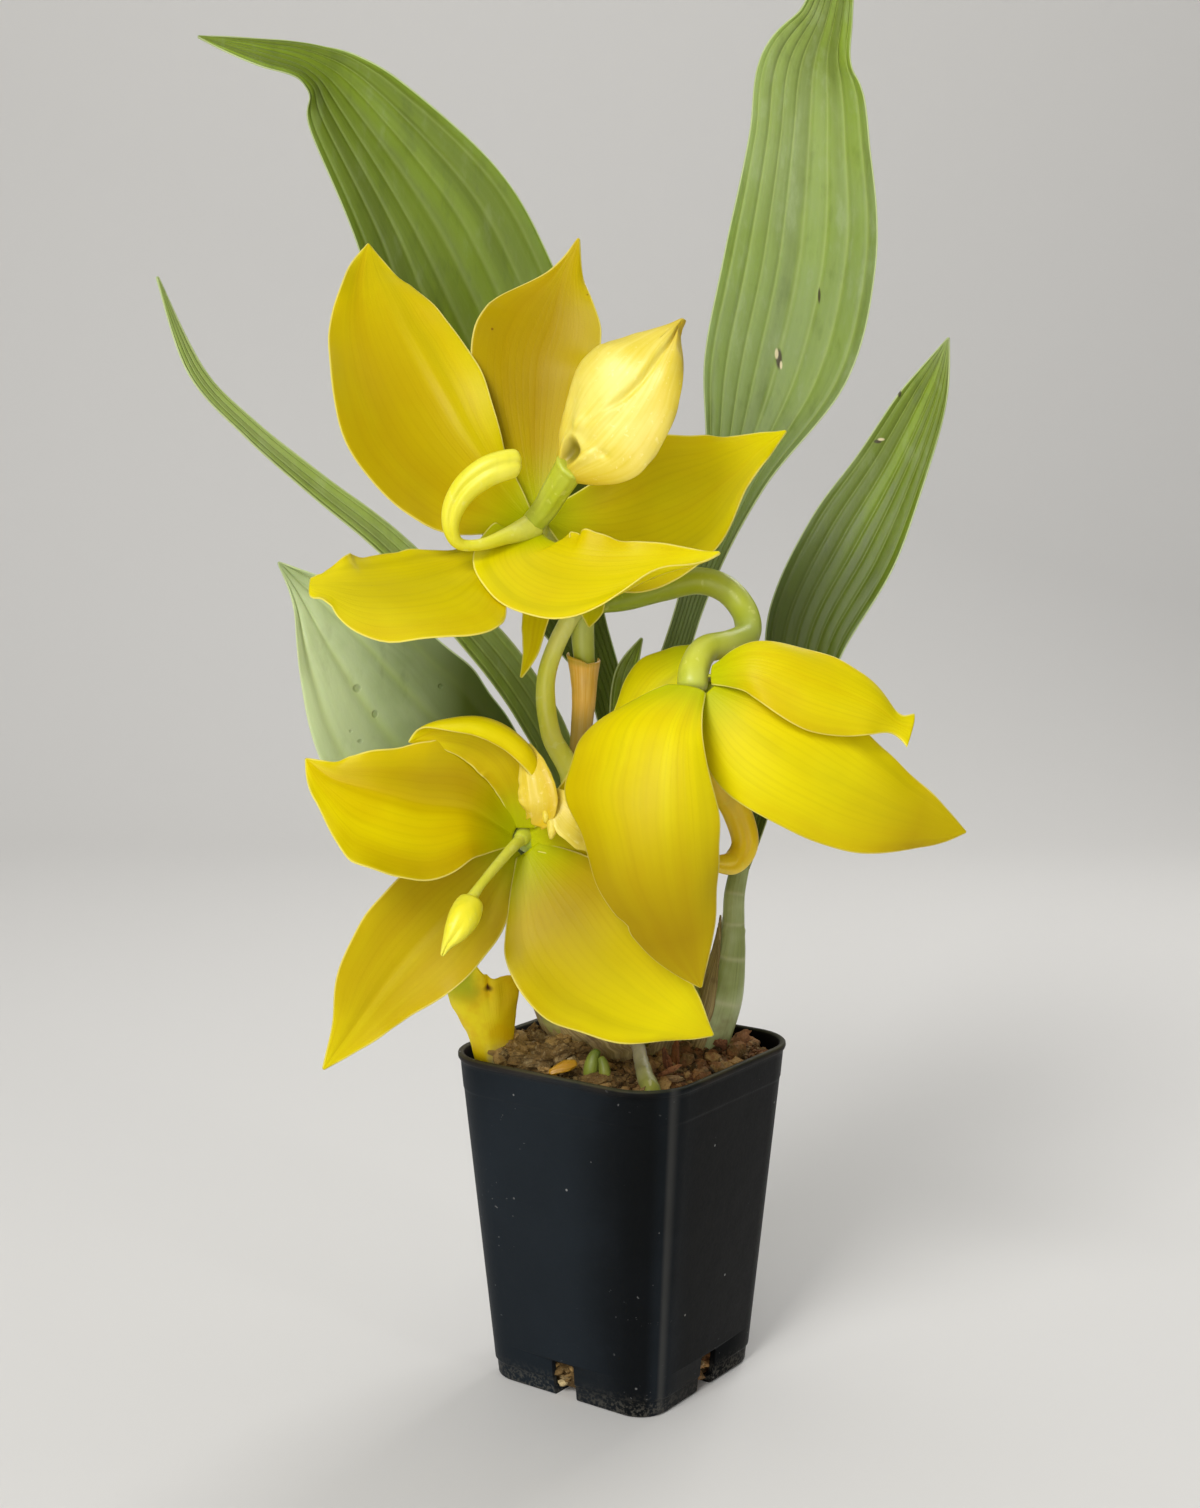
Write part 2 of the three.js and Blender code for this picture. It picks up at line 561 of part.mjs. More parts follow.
// Blooms: five tepals, a lip and a column round each heart
const blooms = {
  top: {
    tepal_left: {
      rows: [
        [-28, -42, 259, 3.5, 3.5, 20, 20], [-43, -44, 271, 22, 14, 25, 20],
        [-57, -41, 288, 25, 21, 35, 20],
        [-67, -34, 307, 16, 20, 30, 15], [-71, -28, 323, 7, 12, 20, 10],
        [-71, -22, 334, 0.4, 0.4, 0, 0],
      ],
      face: [0.35, -0.9, 0.2], wave: 0.8,
    },
    tepal_top: {
      rows: [
        [-24, -38, 262, 3, 3, 20, 20], [-25, -33, 280, 12, 11, 20, 20],
        [-25, -29, 300, 18, 17, 20, 25],
        [-21, -25, 313, 16.5, 15, 15, 25], [-17, -20, 326, 4, 6, 10, 10],
        [-13, -17, 336, 0.4, 0.4, 0, 0],
      ],
      face: [0, -1, 0.1], wave: 0.8,
    },
    tepal_right: {
      rows: [
        [-21, -39, 259, 3, 3, 20, 20], [-4, -35, 258, 14, 21, 20, 20],
        [14, -31, 263, 20, 22, 20, 20],
        [30, -27, 272, 12, 10, 15, 15], [39, -23, 279, 4.5, 3, 10, 10],
        [45, -20, 283, 0.4, 0.4, 0, 0],
      ],
      face: [-0.2, -0.95, 0.2], wave: 0.8,
    },
    tepal_low_left: {
      rows: [
        [-30, -42.5, 254, 3.5, 3.5, 15, 15], [-42, -50, 247.4, 14.5, 9, 0, 10],
        [-54, -60.5, 243.5, 31, 14, 0, 10],
        [-67, -70, 242, 26, 14, 0, 15], [-77, -73, 242.4, 10.5, 7, 5, 20],
        [-81.6, -73.5, 242.6, 3.6, 3.2, 0, 0],
      ],
      face: [[-0.2, -0.6, 0.75], [0, -0.5, 0.85]], wave: 1,
    },
    tepal_low_right: {
      rows: [
        [-27.5, -45.5, 255.5, 5, 8, 20, 20], [-27, -54.5, 248.8, 11, 14.5, 15, 10],
        [-17, -60.8, 244, 16.5, 17, 20, 15], [-3, -62.5, 243.8, 12.5, 10, 30, 50],
        [11, -61, 247, 6.5, 6, 40, 110], [24.5, -58, 250.4, 0.4, 0.4, 0, 0],
      ],
      face: [[0.1, -0.7, 0.7], [-0.1, -0.75, 0.65]], wave: 1,
    },
    lip: {
      claw: [
        [-25, -44, 258, 3.2, 3], [-19, -51, 266, 3, 2.9], [-14, -57, 272, 3.4, 3.2], [-10, -60, 276, 4, 3],
      ],
      body: [
        [-15, -57, 270, 3, 2.5], [-11, -61, 275, 12, 5],
        [-7, -64, 281, 15, 7], [-1, -66, 290, 15, 7.5],
        [5, -66, 299, 11, 6], [11, -63, 306, 4.5, 3], [15, -60, 310, 0.5, 0.5],
      ],
      face: [-0.2, -0.9, 0.35],
    },
    column: {
      rows: [
        [-26, -44, 258, 3.2, 3.2], [-33, -52, 254.6, 2.2, 2.2],
        [-41.6, -59, 252.6, 1.6, 1.6], [-46, -62, 256.5, 1.9, 1.9],
        [-44.4, -63.2, 264, 2.6, 2.6], [-38, -63.5, 270.8, 3.3, 3.3],
        [-31, -62.5, 273.6, 3.3, 3.3], [-28, -61, 273.8, 2.8, 2.8],
      ],
    },
  },
  low: {
    tepal_left: {
      rows: [
        [-31, -47, 173, 3.5, 3.5, 20, 20], [-42, -56, 181, 15, 17, 20, 20],
        [-55, -62, 184, 24, 17, 20, 20],
        [-68, -65, 188, 23, 11, 20, 15], [-78, -65, 191, 9, 6, 15, 10],
        [-85, -63, 196, 0.4, 0.4, 0, 0],
      ],
      face: [0.15, -0.85, 0.5], wave: 0.8, fold: 0.1,
    },
    tepal_low_left: {
      rows: [
        [-31, -45, 169, 3.5, 3.5, 20, 20], [-43, -50, 158, 14, 14, 25, 20],
        [-55, -54, 146, 16, 17, 25, 25],
        [-66, -56, 133, 12, 14, 20, 20], [-75, -56, 120, 6, 6, 10, 10],
        [-83, -54, 109, 0.4, 0.4, 0, 0],
      ],
      face: [0.2, -0.95, 0.2], wave: 0.6,
    },
    tepal_low_right: {
      rows: [
        [-27, -46, 168, 3.5, 3.5, 20, 20], [-18, -54, 156, 13, 18, 20, 20],
        [-9, -59, 144, 18, 23, 15, 25],
        [3, -59, 133, 15, 17, 15, 25], [15, -56, 124, 8, 8, 10, 15], [24, -52, 118, 0.4, 0.4, 0, 0],
      ],
      face: [-0.2, -0.95, 0.2], wave: 0.8,
    },
    tepal_top: {
      rows: [
        [-28, -46, 175, 3.2, 3.2, 10, 20], [-28, -50, 186, 8, 11, 10, 70],
        [-32.5, -53, 196, 10, 14, 10, 90],
        [-40.5, -55, 201.6, 8, 12, 10, 85], [-49.5, -57, 202.5, 4.5, 7, 10, 50],
        [-58, -57, 200, 0.4, 0.4, 0, 0],
      ],
      face: [[0, -1, 0], [0.1, -0.9, -0.3]], along: 10,
    },
    tepal_right: {
      rows: [
        [-26, -45, 171, 3, 3, 20, 20], [-16, -49, 175.5, 9, 9, 20, 20],
        [-6, -52, 181.5, 14, 13, 20, 20], [4, -52, 187, 11, 11, 15, 15],
        [12, -50, 192, 5.5, 5.5, 10, 10], [18, -48, 196, 0.4, 0.4, 0, 0],
      ],
      face: [0, -0.95, 0.3], wave: 0.8,
    },
    lip: {
      claw: [
        [-27, -47, 173, 2.6, 2.6], [-25, -51, 174, 2.6, 2.6], [-22, -54, 175, 3, 3], [-20, -55, 177, 3, 3],
      ],
      body: [
        [-19, -57, 172, 3, 2], [-18, -58.5, 177, 7.5, 3],
        [-19.5, -59.5, 183, 8, 3.4], [-22.6, -59, 188.5, 5.5, 3],
        [-26, -56, 194.5, 2, 1.5],
      ],
      face: [-0.5, -0.8, -0.3],
    },
    column: {
      rows: [
        [-29, -47, 170.6, 2.8, 2.8], [-32.2, -53.4, 169, 2, 2],
        [-36.6, -62, 164.8, 1.7, 1.7], [-40.6, -69.6, 160, 2, 2],
        [-43, -74.4, 155.4, 3.4, 3.1], [-45.6, -77, 151.4, 2, 2], [-48, -77.4, 147, 0.5, 0.5],
      ],
    },
  },
  right: {
    tepal_front: {
      rows: [
        [17.6, -57, 214, 5, 4, 20, 20], [10.6, -69.6, 203.6, 27.5, 10, 35, 30], [7, -78, 185, 24, 17, 40, 30],
        [9, -78, 167, 19, 16, 35, 30], [14, -72, 149, 11, 10, 25, 25],
        [20, -66, 135, 0.4, 0.4, 0, 0],
      ],
      face: [[0.2, 0.7, -0.6], [0.1, 1, 0]], wave: 0.8,
    },
    tepal_low_right: {
      rows: [
        [22, -56, 213, 3.5, 3.5, 20, 20], [34, -62, 203, 15, 17, 25, 25],
        [50, -63, 193, 17, 20, 25, 30],
        [67, -58, 184, 15, 14, 20, 25], [83, -52, 177, 7, 7, 10, 10],
        [93, -48, 174, 0.4, 0.4, 0, 0],
      ],
      face: [[0.2, 0.8, -0.4], [-0.1, 1, -0.1]], wave: 0.6,
    },
    tepal_top_right: {
      rows: [
        [23, -54, 218, 3.2, 3.2, 20, 20], [34, -60, 221, 8, 8, 25, 25],
        [49, -62, 216, 12, 11, 35, 25],
        [64, -60, 210, 9, 8, 30, 20], [72, -57, 205, 3, 3, 10, 10], [76.5, -56, 203, 5, 5, 10, 10],
      ],
      face: [[0, 0.8, -0.5], [0, 0.9, -0.4]], wave: 0.8,
    },
    tepal_top_left: {
      rows: [
        [20.5, -44.5, 221.5, 5.5, 3.2, 20, 20], [10, -46, 213.5, 10.5, 9.5, 30, 30],
        [3, -44, 204, 8, 8, 30, 30],
        [-3, -43, 194, 5, 6, 20, 20], [-9, -43, 185, 0.4, 0.4, 0, 0],
      ],
      face: [[0.3, 0.8, -0.4], [0.3, 0.9, -0.1]],
    },
    tepal_back: {
      rows: [
        [21, -50, 217, 3, 3, 20, 20], [31, -36, 215, 13, 13, 25, 25],
        [43, -25, 209, 16, 16, 30, 30],
        [56, -18, 201, 11, 11, 25, 25], [68, -15, 192, 0.4, 0.4, 0, 0],
      ],
      face: [[0.4, 0.3, -0.85], [-0.3, -0.3, -0.9]],
    },
    lip: {
      claw: [
        [21, -49, 213, 3.2, 3], [25, -41, 209, 3, 2.9], [29, -33, 205, 3.2, 3], [31, -30, 203, 3.4, 3],
      ],
      body: [
        [28, -35, 206, 3, 2.5], [31, -30, 203, 10, 5],
        [36, -22, 197, 13, 6.5], [41, -14, 190, 12, 6],
        [45, -9, 183, 7, 4], [48, -6, 178, 0.5, 0.5],
      ],
      face: [0.2, -0.3, -0.9],
    },
    column: {
      rows: [
        [20, -50, 212, 3.2, 3.2], [22, -46, 200, 2.6, 2.6],
        [25, -42, 188, 3.4, 3.2], [31, -37, 178, 4, 3.4],
        [33.5, -37, 169, 3.8, 3.2], [30, -40, 164, 3.4, 3], [24, -46, 165, 2, 2],
      ],
    },
  },
};

// Bark mix: it fills the pot to just under the mouth, mounded and lumpy, with loose chunks on top
function buildMix() {
  const inset = potWall + seatGap;
  const room = (z) => [z, potHalfAt(z) - inset, potCornerAt(z) - inset];
  const bottom = room(potFloor + seatGap);
  const brim = room(mixLevel);
  const levels = [bottom, brim];
  for (const r of [0.93, 0.77, 0.55, 0.28]) {
    const rise = 1 + mixCrown * (1 - r * r);
    levels.push([mixLevel + rise, brim[1] * r, brim[2] * r]);
  }
  const draw = seeded(7);
  const cornerSteps = 3;
  const sides = 4 * (cornerSteps + 1);
  const geometry = squareStack(levels, cornerSteps);
  const places = geometry.attributes.position;
  for (let i = 2 * sides; i < places.count - 2; i += 1) {
    places.setZ(i, places.getZ(i) + mixLumps * (draw() - 0.5));
  }
  let mix = solidOf(geometry);
  const cavity = squareStack([bottom, room(potHeight + mixCrown)], cornerSteps);
  for (let n = 0; n < chunkCount; n += 1) {
    const angle = goldenAngle * n;
    const reach = chunkReach * Math.sqrt((n + 0.5) / chunkCount);
    const size = chunkSmallest + (chunkLargest - chunkSmallest) * draw();
    const chunk = new THREE.IcosahedronGeometry(1, 0);
    chunk.scale(size, size * (0.6 + 0.4 * draw()), size * (0.5 + 0.4 * draw()));
    chunk.rotateX(6 * draw());
    chunk.rotateZ(6 * draw());
    const x = reach * Math.cos(angle);
    const y = reach * Math.sin(angle);
    const rise = mixCrown * Math.max(0, 1 - (reach / potTopHalf) ** 2);
    chunk.translate(x, y, mixLevel + rise + 0.3 * size);
    mix = mix.add(solidOf(chunk));
  }
  return mix.intersect(solidOf(cavity));
}

// The lip: a round claw that opens into a fleshy body with a groove and a hollow at its base
function buildLip(spec, room) {
  const grow = room ? seatGap : 0;
  const groove = (angle, t) => {
    const across = (angle - Math.PI / 2) / grooveHalf;
    return 1 - grooveDepth * Math.exp(-(across ** 2)) * Math.sin(Math.PI * t);
  };
  const body = { rows: spec.body, face: spec.face, along: 10, sides: 12, shape: groove };
  const claw = { rows: spec.claw, face: spec.face, along: 5 };
  return solidOf(limbGeometry(body, grow)).add(solidOf(limbGeometry(claw, grow)));
}

const stalks = [peduncle, stalkTop, stalkLow, stalkRight];
const spike = stalks.map(limb).reduce((whole, stalk) => whole.add(stalk));
const spikeRoom = stalks.map(limbRoom).reduce((whole, stalk) => whole.add(stalk));

const bulb = limb(mainBulb);
const bulbRoom = limbRoom(mainBulb);
const growth = limb(sideGrowth);
const growthRoom = limbRoom(sideGrowth);

add('stem_main', bulb, bulbGreen);
add('stem_side', clearOf(growth, [bulbRoom]), bulbGreen);
add('spike', clearOf(spike, [bulbRoom]), freshGreen);

const leafRooms = [bulbRoom, growthRoom, spikeRoom];
for (const [name, spec] of Object.entries(leaves)) {
  const leafSpec = { thickness: leafThickness, ...spec };
  add(name, clearOf(blade(leafSpec), leafRooms), leafGreen);
  leafRooms.push(bladeRoom(leafSpec));
}

for (const [name, spec] of Object.entries(drySheaths)) {
  const sheathSpec = { thickness: sheathThickness, along: 8, across: 6, ...spec };
  add(name, clearOf(blade(sheathSpec), leafRooms), drySheath);
  leafRooms.push(bladeRoom(sheathSpec));
}
const stubSpec = { thickness: sheathThickness, ...leafStub };
add('leaf_stub', blade(stubSpec), stubYellow);
add('root', clearOf(limb(root), leafRooms), rootWhite);
add('new_shoots', limb(shoots[0]).add(limb(shoots[1])), freshGreen);
const rootRooms = [bladeRoom(stubSpec), limbRoom(root), ...shoots.map(limbRoom)];
add('bark_mix', clearOf(buildMix(), [bulbRoom, growthRoom, ...leafRooms, ...rootRooms]), bark);

const bractRooms = [spikeRoom];
for (const [name, spec] of Object.entries(bracts)) {
  const bractSpec = { thickness: sheathThickness, ...spec };
  add(name, clearOf(blade(bractSpec), bractRooms), name === 'bract_dry' ? orangeSheath : petal);
  bractRooms.push(bladeRoom(bractSpec));
}

for (const [place, parts] of Object.entries(blooms)) {
  const { lip, column, ...tepals } = parts;
  const columnSpec = { along: 12, ...column };
  const columnSolid = limb(columnSpec);
  const rooms = [spikeRoom, limbRoom(columnSpec)];
  add(`${place}_column`, clearOf(columnSolid, [spikeRoom]), freshGreen);
  add(`${place}_lip`, clearOf(buildLip(lip, false), rooms), cream);
  rooms.push(buildLip(lip, true));
  for (const [name, spec] of Object.entries(tepals)) {
    add(`${place}_${name}`, clearOf(blade(spec), rooms), petal);
    rooms.push(bladeRoom(spec));
  }
}

export default plant;
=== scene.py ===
import math

import bpy
import numpy as np
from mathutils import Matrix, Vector, noise


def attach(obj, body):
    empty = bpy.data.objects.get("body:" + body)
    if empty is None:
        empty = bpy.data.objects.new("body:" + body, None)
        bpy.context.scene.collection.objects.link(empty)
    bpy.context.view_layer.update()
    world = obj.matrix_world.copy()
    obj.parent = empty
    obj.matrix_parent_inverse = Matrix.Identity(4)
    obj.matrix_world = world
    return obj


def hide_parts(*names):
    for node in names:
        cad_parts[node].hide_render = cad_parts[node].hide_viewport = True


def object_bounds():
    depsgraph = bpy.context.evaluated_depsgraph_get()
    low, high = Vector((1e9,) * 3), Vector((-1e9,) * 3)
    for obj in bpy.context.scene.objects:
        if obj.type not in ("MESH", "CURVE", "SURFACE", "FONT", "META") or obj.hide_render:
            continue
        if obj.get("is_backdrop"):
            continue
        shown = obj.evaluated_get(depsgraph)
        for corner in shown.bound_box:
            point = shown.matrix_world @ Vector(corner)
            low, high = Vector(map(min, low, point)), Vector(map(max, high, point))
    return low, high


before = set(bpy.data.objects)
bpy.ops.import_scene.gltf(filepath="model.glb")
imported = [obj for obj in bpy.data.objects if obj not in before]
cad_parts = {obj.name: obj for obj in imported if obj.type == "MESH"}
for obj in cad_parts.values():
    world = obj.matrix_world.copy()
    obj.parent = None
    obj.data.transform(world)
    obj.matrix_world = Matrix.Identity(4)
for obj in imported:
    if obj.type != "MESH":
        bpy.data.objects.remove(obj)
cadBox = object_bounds()
mm = 0.001  # sizes below are in millimetres


def linked(name, data):
    made = bpy.data.objects.new(name, data)
    bpy.context.collection.objects.link(made)
    return made


# camera, where the photo was taken from
eye = {"place": (-7, -614, 270), "pitchDown": 7.5, "lens": 50, "sensor": 36}
camera = linked("camera", bpy.data.cameras.new("camera"))
camera.data.lens = eye["lens"]
camera.data.sensor_width = eye["sensor"]
camera.location = Vector(eye["place"]) * mm
camera.rotation_euler = (math.radians(90 - eye["pitchDown"]), 0, 0)
bpy.context.scene.camera = camera


def unit(v):
    return v / np.maximum(np.linalg.norm(v, axis=-1, keepdims=True), 1e-12)


def rowAt(rows, t):  # smooth curve through rows of numbers, t from 0 at the first to 1 at the last
    rows = np.asarray(rows, float)
    last = len(rows) - 1
    place = np.clip(np.asarray(t, float) * last, 0, last - 1e-9)
    i = place.astype(int)
    f = (place - i)[..., None]
    a, b, c, d = rows[np.maximum(i - 1, 0)], rows[i], rows[i + 1], rows[np.minimum(i + 2, last)]
    return 0.5 * (2 * b + (c - a) * f + (2 * a - 5 * b + 4 * c - d) * f**2 + (3 * b - a - 3 * c + d) * f**3)


def evened(rows, full):  # a width or a bend that is given once holds for both sides
    return [row if len(row) == full else [*row[:3], *np.repeat(row[3:], 2)] for row in rows]


def lineAt(numbers, t):
    return rowAt([[n] for n in numbers], t)[..., 0]


def headingAt(rows, t):
    t = np.asarray(t, float)
    ahead = rowAt(rows, np.minimum(t + 0.01, 1))[..., :3]
    return unit(ahead - rowAt(rows, np.maximum(t - 0.01, 0))[..., :3])


def wander(t, seed, knots=9):  # a smooth random line between -1 and 1
    return lineAt(np.random.default_rng(seed).uniform(-1, 1, knots), t)


def hill(x, middle, width):
    return np.exp(-(((x - middle) / width) ** 2))


def curled(bend, side, roll):  # reach out and up of a bent sheet; a larger roll gathers the bend at its edge
    step = (np.arange(40) + 0.5) / 40
    turn = bend[..., None] * (side[..., None] * step) ** roll
    return side * np.cos(turn).mean(-1), side * np.sin(turn).mean(-1)


def newPiece(name, points, faces, faceUvs, marks, finish):
    mesh = bpy.data.meshes.new(name)
    mesh.from_pydata((np.asarray(points) * mm).tolist(), [], faces)
    uvs = mesh.uv_layers.new(name="UVMap")
    uvs.data.foreach_set("uv", np.array([n for face in faceUvs for uv in face for n in uv], np.float32))
    for mark, values in marks.items():
        mesh.attributes.new(mark, "FLOAT", "POINT").data.foreach_set("value", np.asarray(values, np.float32).ravel())
    mesh.polygons.foreach_set("use_smooth", [True] * len(mesh.polygons))
    mesh.materials.append(finish)
    mesh.update()
    return linked(name, mesh)


def nodeOf(name):  # the CAD node of a piece: lowLip stands for low_lip
    return "".join("_" + c.lower() if c.isupper() else c for c in name)


def settle(piece, slot, *nodes):  # the piece rides with the plant and stands for its CAD nodes
    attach(piece, "root")
    if nodes:
        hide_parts(*nodes)


def shadeAt(shades, v, t):  # painted shade on a blade, painted highlight where below zero: rows of numbers from the blade's foot to its tip, each row from side to side
    place = np.clip(t * (len(shades) - 1), 0, len(shades) - 1)
    total = 0 * v
    for k, row in enumerate(shades):
        atRow = lineAt(row, (v + 1) / 2) if np.ndim(row) else row
        total = total + atRow * np.clip(1 - np.abs(place - k), 0, 1)
    return total


def edgeLoop(along, across):  # numbers of the points round the edge of a grid
    wide = across + 1
    loop = [*range(across)] + [i * wide + across for i in range(along)]
    return loop + [along * wide + j for j in range(across, 0, -1)] + [i * wide for i in range(along, 0, -1)]


def blade(name, spec, finish, along=64, across=32):
    # a leaf, tepal, bract or lip: rows hold the midrib, half-widths and cupping in degrees on each side
    rows, face = evened(spec["rows"], 7), spec["face"]
    faces = face if np.ndim(face) == 2 else [face, face]
    even = np.linspace(-1, 1, across + 1)
    v = 0.7 * even + 0.3 * np.sin(even * math.pi / 2)
    end = spec.get("end", lambda v: np.ones_like(v))
    t = np.linspace(0, 1, along + 1)[:, None] * end(v)[None, :]
    v = np.broadcast_to(v, t.shape)
    side = np.abs(v)
    row = rowAt(rows, t)
    heading = headingAt(rows, t)
    sideways = unit(np.cross(heading, rowAt(faces, t)))
    up = np.cross(sideways, heading)
    width = np.maximum(np.where(v < 0, row[..., 3], row[..., 4]), spec.get("least", 0.3))
    seed = spec.get("seed", 1)
    edge = spec.get("edge", 0.02)  # how uneven the outline is
    width = width * (1 + edge * np.where(v < 0, wander(t, seed, 14), wander(t, seed + 50, 14)))
    for at, hand, deep, wide in spec.get("nicks", []):  # bites out of an edge, or bulges where negative
        width = width - deep * hill(t, at, wide) * (np.sign(v) == hand)
    bend = np.radians(np.where(v < 0, row[..., 5], row[..., 6]))
    out, rise = curled(bend, side, spec.get("roll", 1))
    out, rise = out * width, rise * width + spec.get("fold", 0) * side * width
    ripple = spec.get("wave", 0) * side**3 * np.sin(2 * math.pi * spec.get("waves", 3) * t + 1.5 * v)
    rise = rise + ripple * np.minimum(1, width / 8)
    flutter = np.where(v < 0, wander(t, seed + 7, 22), wander(t, seed + 8, 22))
    rise = rise + spec.get("flutter", 0.35) * side**6 * flutter * np.minimum(1, width / 8)
    swell = wander(t, seed + 9, 7) * np.cos(1.9 * v) + wander(t, seed + 10, 8) * np.sin(2.8 * v)
    inside = np.minimum(1, width / 12) * np.sin(math.pi * np.clip(t, 0, 1)) ** 0.5
    rise = rise + spec.get("swell", 0.4) * swell * inside
    taper = np.minimum(1, width / 9) * (1 - side**8)
    rise = rise - spec.get("pleat", 0) * np.abs(np.sin(math.pi * spec.get("lines", 8) * (v + 1) / 2)) ** 5 * taper
    rise = rise - spec.get("crease", 0) * hill(v * width, 0, 1.3) * taper  # valley along the midrib
    for at, acrossAt, tWide, vWide, deep in spec.get("dents", []):
        rise = rise + deep * hill(t, at, tWide) * hill(v, acrossAt, vWide)
    middle = row[..., :3] + sideways * (np.sign(v) * out)[..., None] + up * rise[..., None]
    ahead = np.gradient(middle, axis=0)
    beside = np.gradient(middle, axis=1)
    normal = unit(np.cross(beside, ahead))
    thick = spec.get("thickness", 0.9) / 2 * (1 - 0.62 * side**5)
    swollen = (1 - side**2) ** 0.6 * np.sin(math.pi * np.clip(t, 0.004, 0.996)) ** 0.5
    belly = spec.get("belly", (0, 0))  # how far the front and the back swell out
    relief = spec.get("relief", lambda v, t: 0 * v)(v, t) * (1 - side**8)
    front = middle + normal * (thick + belly[0] * swollen + relief)[..., None]
    back = middle - normal * (thick + belly[1] * swollen)[..., None]

    wide, count = across + 1, (along + 1) * (across + 1)
    loop = edgeLoop(along, across)
    flat = middle.reshape(-1, 3)
    around = flat[np.roll(loop, -1)] - flat[np.roll(loop, 1)]
    outward = unit(np.cross(around, normal.reshape(-1, 3)[loop]))
    rimPoints = flat[loop] + outward * (thick.ravel()[loop] * 0.8)[:, None]
    points = np.concatenate([front.reshape(-1, 3), back.reshape(-1, 3), rimPoints])

    uv = np.stack([(v + 1) / 2, t], -1).reshape(-1, 2)
    uv = np.concatenate([uv, uv, uv[loop]]).tolist()
    faceList = []
    for i in range(along):
        for j in range(across):
            a = i * wide + j
            b, c, d = a + wide, a + wide + 1, a + 1
            faceList.append((a, d, c, b))
            faceList.append((a + count, b + count, c + count, d + count))
    for k, a in enumerate(loop):
        n = (k + 1) % len(loop)
        b, m, mNext = loop[n], 2 * count + k, 2 * count + n
        faceList.append((a, m, mNext, b))
        faceList.append((m, a + count, b + count, mNext))
    lengths = np.linalg.norm(np.diff(rowAt(rows, np.linspace(0, 1, 60))[:, :3], axis=0), axis=1).sum()
    rim = (width * (1 - side)).ravel()
    reach = (t * lengths).ravel()
    inner = np.concatenate([np.ones(count), np.zeros(count), np.full(len(loop), 0.5)])
    marks = {
        "rim": np.concatenate([rim, rim, np.zeros(len(loop))]),
        "reach": np.concatenate([reach, reach, reach[loop]]), "inner": inner,
        "tone": np.full(len(points), spec.get("tone", 0.5)), "lines": np.full(len(points), spec.get("lines", 15)),
    }
    # each blade carries its painted shade as the shade mark
    shading = {"shade": lambda v, t: shadeAt(spec.get("shades", [0]), v, t)}
    for mark, rule in {**shading, **spec.get("marks", {})}.items():
        values = np.broadcast_to(rule(v, t) if callable(rule) else rule, v.shape).ravel()
        marks[mark] = np.concatenate([values, values, values[loop]])
    return newPiece(name, points, faceList, [[uv[n] for n in face] for face in faceList], marks, finish)


def limb(name, spec, finish, along=60, sides=32):
    # a stem or column: rows hold its core, half-width and half-depth
    rows = evened(spec["rows"], 5)
    t = np.linspace(0, 1, along + 1)
    t = 0.55 * t + 0.45 * (0.5 - 0.5 * np.cos(math.pi * t))
    row = rowAt(rows, t)
    heading = headingAt(rows, t)
    face = np.array(spec.get("face", (0, -1, 0)), float)
    beside = unit(np.cross(heading, face))
    normals = np.cross(beside, heading)
    angle = np.linspace(0, 2 * math.pi, sides, endpoint=False)[None, :]
    grown = t[:, None]
    shape = spec.get("shape", lambda angle, t: 1 + 0 * angle * t)(angle, grown)
    relief = spec.get("relief", lambda angle, t: 0 * angle * t)(angle, grown)
    length = np.linalg.norm(np.diff(row[:, :3], axis=0), axis=1)
    length = np.concatenate([[0], np.cumsum(length)])
    for distance, dome in zip((length, length[-1] - length), spec.get("domes", (0, 0))):
        if dome:  # the end closes like a dome of this height
            close = np.sqrt(np.clip(1 - (1 - np.clip(distance / dome, 0, 1)) ** 2, 0.003, 1))
            shape = shape * close[:, None]
            relief = relief * close[:, None]
    wide = np.maximum(row[:, 3:4], 0.3) * shape + relief
    deep = np.maximum(row[:, 4:5], 0.3) * shape + relief
    ring = beside[:, None, :] * (wide * np.cos(angle))[..., None]
    ring = ring + normals[:, None, :] * (deep * np.sin(angle))[..., None]
    body = (row[:, None, :3] + ring).reshape(-1, 3)
    points = np.concatenate([body, row[[0, -1], :3]])
    first = len(body)
    faces, uvs = [], []
    for i in range(along):
        for k in range(sides):
            n = (k + 1) % sides
            a, b = i * sides + k, i * sides + n
            faces.append((a, a + sides, b + sides, b))
            low, high, left, right = t[i], t[i + 1], k / sides, (k + 1) / sides
            uvs.append([(left, low), (left, high), (right, high), (right, low)])
    for k in range(sides):
        n = (k + 1) % sides
        faces.append((first, k, n))
        uvs.append([(0.5, 0), (k / sides, 0), ((k + 1) / sides, 0)])
        faces.append((first + 1, along * sides + n, along * sides + k))
        uvs.append([(0.5, 1), ((k + 1) / sides, 1), (k / sides, 1)])
    marks = {"along": grown, "tone": spec.get("tone", 0.5), **spec.get("marks", {})}
    for mark, rule in marks.items():
        values = np.broadcast_to(rule(angle, grown) if callable(rule) else rule, (along + 1, sides))
        marks[mark] = np.concatenate([values.ravel(), [values[0].mean(), values[-1].mean()]])
    return newPiece(name, points, faces, uvs, marks, finish)


def squareRing(half, corner, steps, turn):  # points round a square with rounded corners
    ring = []
    for q in range(4):
        for s in range(steps + 1):
            a = math.pi / 2 * (q + s / steps)
            x = (half - corner) * (1 if q in (0, 3) else -1) + corner * math.cos(a)
            y = (half - corner) * (1 if q < 2 else -1) + corner * math.sin(a)
            ring.append((math.cos(turn) * x - math.sin(turn) * y, math.sin(turn) * x + math.cos(turn) * y))
    return ring


class Wire:  # one socket, so that 1 - mask * 0.5 adds its own Math nodes
    def __init__(self, bench, socket):
        self.bench, self.socket = bench, socket

    def also(self, name):
        return Wire(self.bench, self.socket.node.outputs[name])


